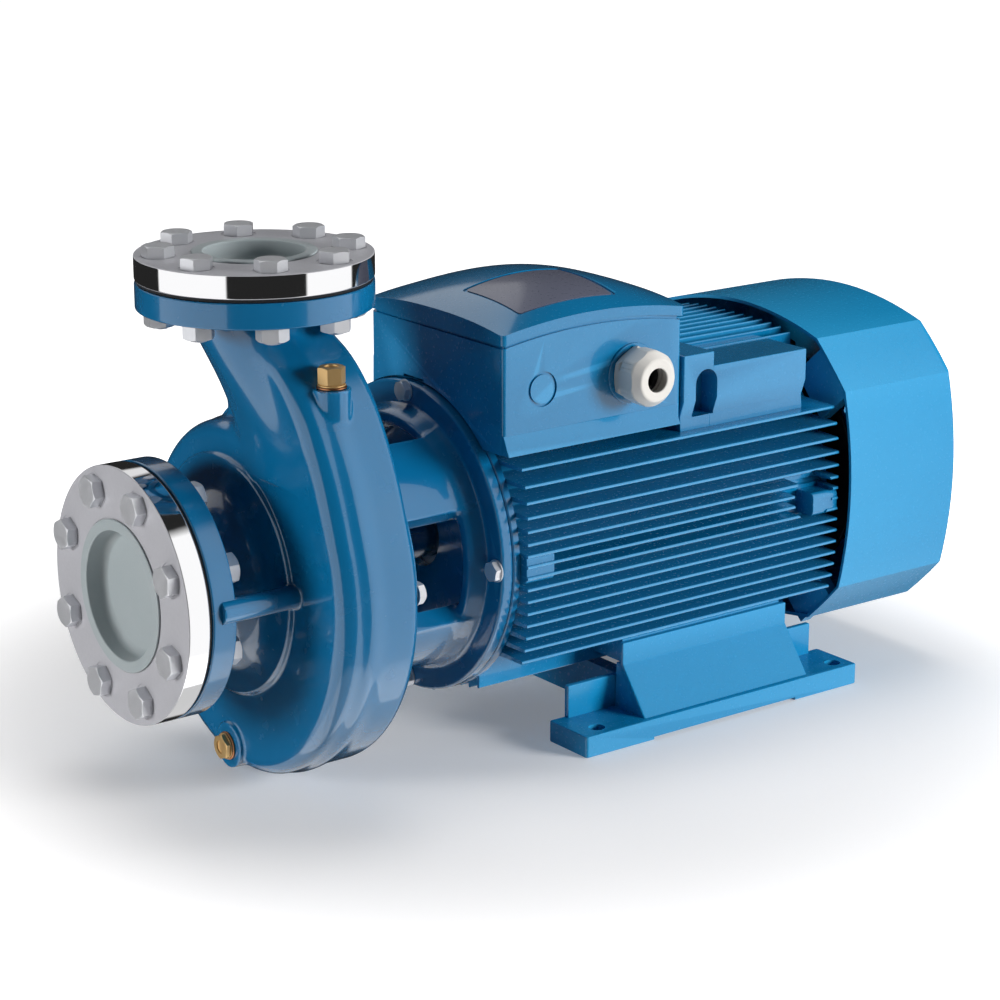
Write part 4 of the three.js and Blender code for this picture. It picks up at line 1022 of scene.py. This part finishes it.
def terminal_box_lid():
    lid = height_solid(lambda x, y: joint_height(x) + 0.3, lid_top)
    kept_inside(lid, plan(LID_OVERHANG, 5, 340))
    hollow = height_solid(lambda x, y: joint_height(x) - 5, lambda x, y: lid_top(x, y) - 4, 48)
    kept_inside(hollow, plan(-3, 4, 340))
    panel = prism(label_outline(0, 4), 370, 440, "z")
    above = height_solid(lambda x, y: lid_top(x, y) - LABEL["depth"], lambda x, y: lid_top(x, y) + 30)
    bevelled(lid, 3.2, 45, 4)
    cut(lid, hollow, kept_inside(panel, above))
    finished(lid, "terminal_box_lid", "box_lid", BLUE, sharp=30)
    blank = prism(label_outline(3, 3), 370, 440, "z")
    sheet = height_solid(lambda x, y: lid_top(x, y) - LABEL["depth"] + 0.05, lambda x, y: lid_top(x, y) - 0.5)
    kept_inside(blank, sheet)
    blank.name = "blank_plate"
    finished(blank, None, "box_lid", PLATE_PRINT, sharp=30)


def cable_gland():
    inner_end = Vector((GLAND.x, node_box("cable_gland_body")[1].y, GLAND.z))
    place = towards(inner_end, (0, -1, 0)) @ Matrix.Translation((16, 0, 0))
    body = hex_block(44, 0.2, 8, place)
    radius, pitch = GLAND_THREAD
    joined(body, threaded_rod(radius, pitch, -16, 1, place), rod(radius + 1, 7, 8.6, place, 64),
           threaded_rod(radius + 1, pitch, 8.4, 20, place))
    cut(body, rod(13, -20, 30, place, 64))
    finished(body, "cable_gland_body", "casing", GLAND_PLASTIC, sharp=30)
    dome = [(9, 17.6), (9, 25), (25, 25), (33, 18.5), (33, 10), (21, 14), (21, 17.6)]
    nut = revolved(rounded(dome, [0.5, 1.2, 6, 3, 1.2, 1, 0.5], 6), place, 128)
    kept_inside(nut, prism(rounded(hexagon(47.5), 5, 6), 8, 34, "x", place))
    grip_lines = [rod(0.7, 10, 24, rolled(angle, place) @ Matrix.Translation((0, 0, 25.3)), 8)
                  for angle in ring_of(36, 5)]
    finished(cut(nut, *grip_lines), "cable_gland_nut", "gland_nut", GLAND_PLASTIC, sharp=30)
    finished(ring(6, 19, 8, 12.2, 1.2, 4, place, 64), "cable_gland_seal", "gland_seal", RUBBER)


# ------------------------------------------------------------------ foot
def foot_strip(mirror):
    """One strip of the foot: a plate with end pads, an upright and a sloping web closed by cheeks."""
    side, thickness, relief = -FOOT_LOW.y, 20, 3
    front, back = FOOT_LOW.x, FOOT_HIGH.x
    place = Matrix.Scale(mirror, 4, (0, 1, 0))
    strip = prism(rounded(rectangle(front, back, -side, FOOT_WALL + 6), 2.5, 4), 0, thickness, "z", place)
    bevelled(strip, 1.3)
    arch = prism(rectangle(-side - 1, FOOT_WALL + 7, -1, relief), front + 77, back - 77, "x", place)
    wall = rectangle(FOOT_WALL, FOOT_WALL + 6, thickness - 3, 50)
    upright = prism(wall, front + 17, COVER_LOW.x - 2, "x", place)
    slope = [(-125, 82), (-120, 82), (-120, 62), (-147.5, 17), (-158.5, 17), (-125, 62)]
    web = prism(slope, WEB_FRONT, WEB_BACK, "x", place)
    cheeks = [prism([(-121, 62), (-116, 62), (-114, 18), (-150, 18)], start, start + 7, "x", place)
              for start in (WEB_FRONT + 0.4, WEB_BACK - 7.4)]
    joined(cut(strip, arch), bevelled(upright, 1.3), bevelled(web, 1.3), *cheeks)
    holes = [towards(Vector((x, -mirror * 147, 0)), (0, 0, 1)) for x in (front + 23, back - 17)]
    return cut(strip, *[rod(7.5, -1, thickness + 1, hole) for hole in holes])


def motor_foot():
    foot, far_strip = foot_strip(1), foot_strip(-1)
    cross = [bevelled(prism(rectangle(x - 8, x + 8, FOOT_WALL + 1, -FOOT_WALL - 1), 6, 44, "z"), 1)
             for x in (320, 460)]
    finished(joined(foot, far_strip, *cross), "motor_foot", "casing", BLUE_WITH_PAINTED_LIGHT, sharp=32)


# ------------------------------------------------------------------ inside
SHAFT_STEPS = [(-34, 8), (-21, 13), (27, 17), (70, 22), (174, 22.5), (206, 30), (480, 20), (552, 17)]
SHAFT_END = 612
KEY_WIDTH = 8
KEY_SLOT = KEY_WIDTH / 2 + 0.2
IMPELLER_RADIUS = 104
STATOR_BORE = 73
COIL_CIRCLE = 92


def turned_shaft():
    outline = [(SHAFT_STEPS[0][0], 0)]
    for (start, radius), (end, _) in zip(SHAFT_STEPS, SHAFT_STEPS[1:] + [(SHAFT_END, 0)]):
        outline += [(start, radius), (end, radius)]
    outline.append((SHAFT_END, 0))
    bevel = [0] + [0.8] * (len(outline) - 2) + [0]
    shaft = revolved(rounded(outline, bevel, 3))
    cut(shaft, prism(rounded(rectangle(-22, 20, -KEY_SLOT, KEY_SLOT), 4, 6), SHAFT + 9, SHAFT + 20, "z"))
    joined(shaft, threaded_rod(8.3, 1.5, -33.5, -21.5, ON_SHAFT))
    finished(shaft, "shaft", "rotor", SHAFT_STEEL, sharp=30)
    low, high = node_box("impeller_key")
    key = prism(rounded(rectangle(low.x, high.x, low.y, high.y), 3.4, 6), low.z, high.z, "z")
    finished(bevelled(key, 0.4), "impeller_key", "rotor", SHAFT_STEEL, sharp=30)


def vane(angle):
    """One backward-swept vane: two spirals 3.5 mm apart."""
    steps = 24
    outer, inner = ([polar(start + 57 * i / steps, angle + 72 * i / steps) for i in range(steps + 1)]
                    for start in (46, 42.5))
    return prism(outer + inner[::-1], -7, 18, "x", ON_SHAFT)


def impeller():
    """Closed impeller: back plate, front shroud with its wear ring, hub and six vanes; and its nut."""
    shroud = [(-34, 40), (-34, 44.6), (-23, 45.4), (-15, 52), (-8, IMPELLER_RADIUS), (-4, IMPELLER_RADIUS),
              (-12, 42)]
    hub = [(-20, 13.4), (-20, 26), (20, 28), (20, 13.4)]
    wheel = ring(17, 24, 13.4, IMPELLER_RADIUS, [0, 1, 1, 0.6], 3, ON_SHAFT, 128)
    joined(wheel, revolved(rounded(shroud, [0.8, 0.8, 3, 8, 1, 1, 6], 5), ON_SHAFT, 128),
           revolved(rounded(hub, [0.6, 2, 0, 0], 4)), *[vane(angle) for angle in ring_of(6)])
    cut(wheel, prism(rectangle(-22, 26, -KEY_SLOT, KEY_SLOT), SHAFT + 12, SHAFT + 16.2, "z"))
    finished(wheel, "impeller", "rotor", IRON, sharp=32)
    low, high = node_box("impeller_nut")
    nut = cut(hex_block(26, low.x, high.x, ON_SHAFT), rod(8.7, low.x - 2, high.x + 2, ON_SHAFT, 64))
    finished(nut, "impeller_nut", "rotor", ZINC, sharp=30)


def shaft_seal():
    """Both seal rings, and the casing gasket."""
    low, high = node_box("seal_rotating_ring")
    folds = [(low.x + 3 + 2 * i, 25.2 - 1.4 * (i % 2)) for i in range(6)]
    bellows = [(low.x, 17.4), (low.x, 27), (low.x + 2.4, 27), *folds,
               (high.x - 3.4, 27), (high.x, 27), (high.x, 17.4)]
    finished(revolved(rounded(bellows, 0.5, 3)), "seal_rotating_ring", "rotor", CARBON, sharp=30)
    low, high = node_box("seal_stationary_ring")
    seat = [(low.x, 18.2), (low.x, 22.5), (low.x + 2, 22.5), (low.x + 2, 25.6),
            (high.x, 25.6), (high.x, 18.2)]
    finished(revolved(rounded(seat, 0.5, 3)), "seal_stationary_ring", "casing", CERAMIC, sharp=30)
    low, high = node_box("casing_gasket")
    sheet = ring(low.x, high.x, SPIGOT + 1, SPIGOT + 8, 0.25, 3, ON_SHAFT, 128)
    finished(sheet, "casing_gasket", "casing", FIBRE)


def bearing(node, bore, radius):
    """A shielded ball bearing: two ground rings with dished shields between them."""
    low, high = node_box(node)
    race = (radius - bore) * 0.26
    half = [(low.x, bore), (low.x, bore + race), (low.x + 0.7, bore + race + 0.5),
            (low.x + 0.7, radius - race - 0.5), (low.x, radius - race), (low.x, radius)]
    other = [(low.x + high.x - x, r) for x, r in reversed(half)]
    races = revolved(rounded(half + other, [1, 0.2, 0.2, 0.2, 0.2, 1] * 2, 3))
    finished(races, node, "casing", ZINC, sharp=30)


def cooling_fan():
    """Hub, dished back plate and nine blades with sloping fronts."""
    low, high = node_box("cooling_fan")
    plate = high.x - 34
    hub = [(low.x, 17.4), (low.x, 28), (high.x - 8, 30), (high.x - 8, 17.4)]
    disc = [(plate, 24), (plate - 3, 60), (plate, 121), (plate + 3.4, 121), (plate + 2, 60), (plate + 5, 24)]
    fan = revolved(rounded(hub, [0.8, 2, 2, 0.8], 4))
    joined(fan, revolved(rounded(disc, [0, 6, 1.2, 1.2, 6, 0], 4), ON_SHAFT, 128))
    corners = [(plate + 1, 27), (high.x - 6, 27), (high.x, 70), (high.x, 112), (high.x - 8, 116),
               (plate + 1, 116)]
    blade = rounded(corners, [0, 3, 8, 4, 4, 0], 5)
    joined(fan, *[prism(blade, -1.4, 1.4, "y", rolled(angle)) for angle in ring_of(9)])
    finished(bevelled(fan, 0.4, 50), "cooling_fan", "rotor", FAN_PLASTIC, sharp=30)


def rotor_core():
    """Laminated stack between two cast end rings with short slots."""
    low, high = node_box("rotor_core")
    edge = (high.z - low.z) / 2
    profile = [(low.x, 30.3), (low.x, edge - 7), (low.x + 9, edge - 5), (low.x + 9, edge),
               (high.x - 9, edge), (high.x - 9, edge - 5), (high.x, edge - 7), (high.x, 30.3)]
    core = revolved(rounded(profile, [0.5, 1.5, 0.5, 0.3, 0.3, 0.5, 1.5, 0.5], 3), ON_SHAFT, 128)
    cut(core, *[prism(rectangle(x, x + 8, 46, edge - 7), -1.6, 1.6, "y", rolled(angle))
                for angle in ring_of(12) for x in (low.x + 0.6, high.x - 8.6)])
    finished(core, "rotor_core", "rotor", LAMINATED, sharp=30)


def coil_bars(half, deep, start, end):
    """The twelve straight sides of the coils."""
    outline = rounded(rectangle(-half, half, COIL_CIRCLE - deep, COIL_CIRCLE + deep), 3, 4)
    return [prism(outline, start, end, "x", rolled(angle)) for angle in ring_of(12)]


def coil_head(start, end):
    """Laced end turns: a rounded ring pinched by its lacing."""
    around, across, radius, thickness, squareness = 216, 28, 91, 11.6, 0.6
    middle_x, half_x = (start + end) / 2, (end - start) / 2

    def squared(value):
        return math.copysign(abs(value) ** squareness, value)

    points = []
    for i in range(around):
        angle = 360 * i / around
        pinch = 0.94 + 0.06 * abs(math.sin(math.radians(angle * 18)))
        for j in range(across):
            turn = 2 * math.pi * j / across
            out = squared(math.sin(turn)) * thickness * pinch
            points.append((middle_x + squared(math.cos(turn)) * half_x * pinch, *polar(radius + out, angle)))
    faces = []
    for i in range(around):
        here, following = i * across, (i + 1) % around * across
        for j in range(across):
            beside = (j + 1) % across
            faces.append([here + j, here + beside, following + beside, following + j])
    return build("coil", points, faces, ON_SHAFT)


def stator():
    low, high = node_box("stator_core")
    core = ring(low.x, high.x, STATOR_BORE, (high.z - low.z) / 2, 0.5, 3, ON_SHAFT, 160)
    cut(core, *coil_bars(7.3, 10.3, low.x - 1, high.x + 1))
    finished(core, "stator_core", "casing", LAMINATED, sharp=30)
    coil_low, coil_high = node_box("stator_winding")
    winding = coil_head(coil_low.x, low.x - 2)
    joined(winding, coil_head(high.x + 2, coil_high.x), *coil_bars(7, 10, low.x - 4, high.x + 4))
    finished(winding, "stator_winding", "casing", WINDING, sharp=40)


def terminal_board():
    """Moulded board with a low wall round it, six brass studs with their nuts."""
    low, high = node_box("terminal_board")
    centre = (low + high) / 2
    half_x, half_y, wall, height = (high.x - low.x) / 2, (high.y - low.y) / 2, 3, 14
    base = prism(rounded(rectangle(-half_x, half_x, -half_y, half_y), 4, 5), 0, height, "z")
    tray = rounded(rectangle(wall - half_x, half_x - wall, wall - half_y, half_y - wall), 3, 5)
    bevelled(cut(base, prism(tray, height - 3, height + 1, "z")), 0.6)
    for x in (-28, 0, 28):
        for y in (-16, 16):
            place = towards((x, y, 0), (0, 0, 1), 10 * x + y)
            joined(base, threaded_rod(4, 1.0, 9, 33.6, place), hex_block(10, 10.6, 16, place))
    base.data.transform(Matrix.Translation(Vector((centre.x, centre.y, low.z)) * MM))
    finished(base, "terminal_board", "casing", RESIN, sharp=30, second=BRASS)
    for face in base.data.polygons:
        if face.center.z / MM > low.z + height + 0.2:
            face.material_index = 1


def inner_pieces():
    turned_shaft()
    impeller()
    shaft_seal()
    bearing("front_bearing", 22.9, 50)
    bearing("rear_bearing", 20.4, 40)
    cooling_fan()
    rotor_core()
    stator()
    terminal_board()


# ------------------------------------------------------------------ studio
# Each panel: bearing in degrees from +X, half its width, its lowest and highest elevation, its brightness.
PANELS = [(-44.5, 27.5, -90, 52, 1.1), (173, 38, -90, 35, 1.1), (92, 38, 24, 62, 0.8),
          (0, 180, -90, -42, 0.65)]
GLOW_AMBIENT = 0.02
WHITE = (1.0, 1.0, 1.0)
CAMERA = {"seat": (-1.217, -1.960, 0.907), "yaw": 53.10, "pitch": -16.22, "lens": 101.4, "sensor": 36}


def emitter(name, location, target, size, power, spread=180):
    light = bpy.data.lights.new(name, "AREA")
    light.shape = "RECTANGLE"
    light.size, light.size_y = size
    light.energy = power
    light.spread = math.radians(spread)
    lamp = bpy.data.objects.new(name, light)
    lamp.location = START * MM + Vector(location)
    lamp.rotation_euler = (Vector(target) - Vector(location)).to_track_quat("-Z", "Y").to_euler()
    lamp.visible_glossy = False
    bpy.context.scene.collection.objects.link(lamp)


def panels(graph):
    """Brightness that a polished surface sees: tall white panels with dark between them."""
    def step(value, edge, softness):
        return graph.spread(value, edge - softness, edge + softness)

    incoming = graph.add("NewGeometry").outputs["Incoming"]
    parts = graph.add("SeparateXYZ", incoming).outputs
    level = graph.add("CombineXYZ", parts["X"], parts["Y"]).outputs["Vector"]
    unit = graph.add("VectorMath", level, operation="NORMALIZE").outputs["Vector"]
    total = GLOW_AMBIENT
    for bearing, half_width, bottom, top, brightness in PANELS:
        angle = math.radians(bearing)
        ahead = (-math.cos(angle), -math.sin(angle), 0)
        towards_panel = graph.add("VectorMath", unit, ahead, operation="DOT_PRODUCT").outputs["Value"]
        facing = step(towards_panel, math.cos(math.radians(half_width)), 0.01)
        below, above = (step(parts["Z"], -math.sin(math.radians(edge)), 0.03) for edge in (top, bottom))
        between = graph.maths("SUBTRACT", below, above)
        lit = graph.maths("MULTIPLY", facing, between)
        total = graph.maths("ADD", graph.maths("MULTIPLY", lit, brightness), total)
    return total


def floor_material():
    """Pale floor with a painted glow that only the camera sees, weak by the pump and plain white away from
    it; it mirrors the panels.
    """
    material, graph, bsdf = shader("pale_floor")
    bsdf.inputs["Roughness"].default_value = 0.7
    shade = graph.mixed(graph.noise(3, 2), (0.85, 0.83, 0.82), (0.88, 0.86, 0.85))
    graph.link(shade, bsdf.inputs["Base Color"])
    where = graph.add("TexCoord").outputs["Object"]
    distance = graph.add("VectorMath", where, operation="LENGTH").outputs["Value"]
    # Painted glow: emission seen by the camera alone, weak near the pump and full white further out.
    painted_floor_glow = graph.spread(distance, 0.34, 0.8, 0.18, 1.0, interpolation_type="SMOOTHSTEP")
    path = graph.add("LightPath").outputs
    bsdf.inputs["Emission Color"].default_value = (*WHITE, 1)
    graph.link(graph.maths("MULTIPLY", painted_floor_glow, path["Is Camera Ray"]), bsdf.inputs["Emission Strength"])
    glow = graph.add("Emission")
    graph.link(panels(graph), glow.inputs["Strength"])
    swap = graph.add("MixShader", path["Is Glossy Ray"], bsdf.outputs["BSDF"], glow.outputs["Emission"])
    graph.link(swap.outputs["Shader"], graph.nodes["Material Output"].inputs["Surface"])
    material.cycles.emission_sampling = "NONE"
    return material


def backdrop():
    """White to the camera, the panels to polished surfaces, a dim fill to the rest."""
    world = bpy.data.worlds.new("studio")
    world.use_nodes = True
    graph = Graph(world.node_tree)
    path = graph.add("LightPath").outputs
    colour = graph.add("CombineColor")
    brightness = panels(graph)
    for socket in colour.inputs[:3]:
        graph.link(brightness, socket)
    seen = graph.mixed(path["Is Glossy Ray"], (0.035, 0.04, 0.05), colour.outputs["Color"])
    seen = graph.mixed(path["Is Camera Ray"], seen, WHITE)
    graph.link(seen, graph.nodes["Background"].inputs["Color"])
    world.cycles.sampling_method = "NONE"
    return world


def studio():
    reach = 14
    corners = [(-reach, -reach, 0), (reach, -reach, 0), (reach, reach, 0), (-reach, reach, 0)]
    floor_mesh = bpy.data.meshes.new("floor")
    floor_mesh.from_pydata(corners, [], [(0, 1, 2, 3)])
    floor_mesh.materials.append(floor_material())
    floor = bpy.data.objects.new("floor", floor_mesh)
    bpy.context.scene.collection.objects.link(floor)
    target = (0.25, 0.0, 0.22)
    emitter("key", (2.1, -2.9, 0.95), target, (1.3, 1.0), 135)
    emitter("top", (0.6, 0.5, 2.8), target, (1.8, 1.4), 34)
    emitter("left", (-2.6, 0.7, 0.55), (-0.13, 0.0, 0.2), (0.9, 0.9), 5, 50)
    bpy.context.scene.world = backdrop()
    bpy.context.scene.view_settings.view_transform = "Standard"


def camera():
    lens = bpy.data.cameras.new("camera")
    lens.lens = CAMERA["lens"]
    lens.sensor_width = CAMERA["sensor"]
    seat = bpy.data.objects.new("camera", lens)
    seat.location = START * MM + Vector(CAMERA["seat"])
    yaw, pitch = math.radians(CAMERA["yaw"]), math.radians(CAMERA["pitch"])
    ahead = Vector((math.cos(pitch) * math.cos(yaw), math.cos(pitch) * math.sin(yaw), math.sin(pitch)))
    seat.rotation_euler = ahead.to_track_quat("-Z", "Y").to_euler()
    bpy.context.scene.collection.objects.link(seat)
    bpy.context.scene.camera = seat


volute()
lantern()
connections()
plugs()
small_bolts("casing_bolt", 1, CASING_BOLT)
small_bolts("tie_bolt", -1, TIE_BOLT)
motor_housing()
end_shields()
fan_cover()
terminal_box()
terminal_box_lid()
cable_gland()
motor_foot()
inner_pieces()
studio()
camera()
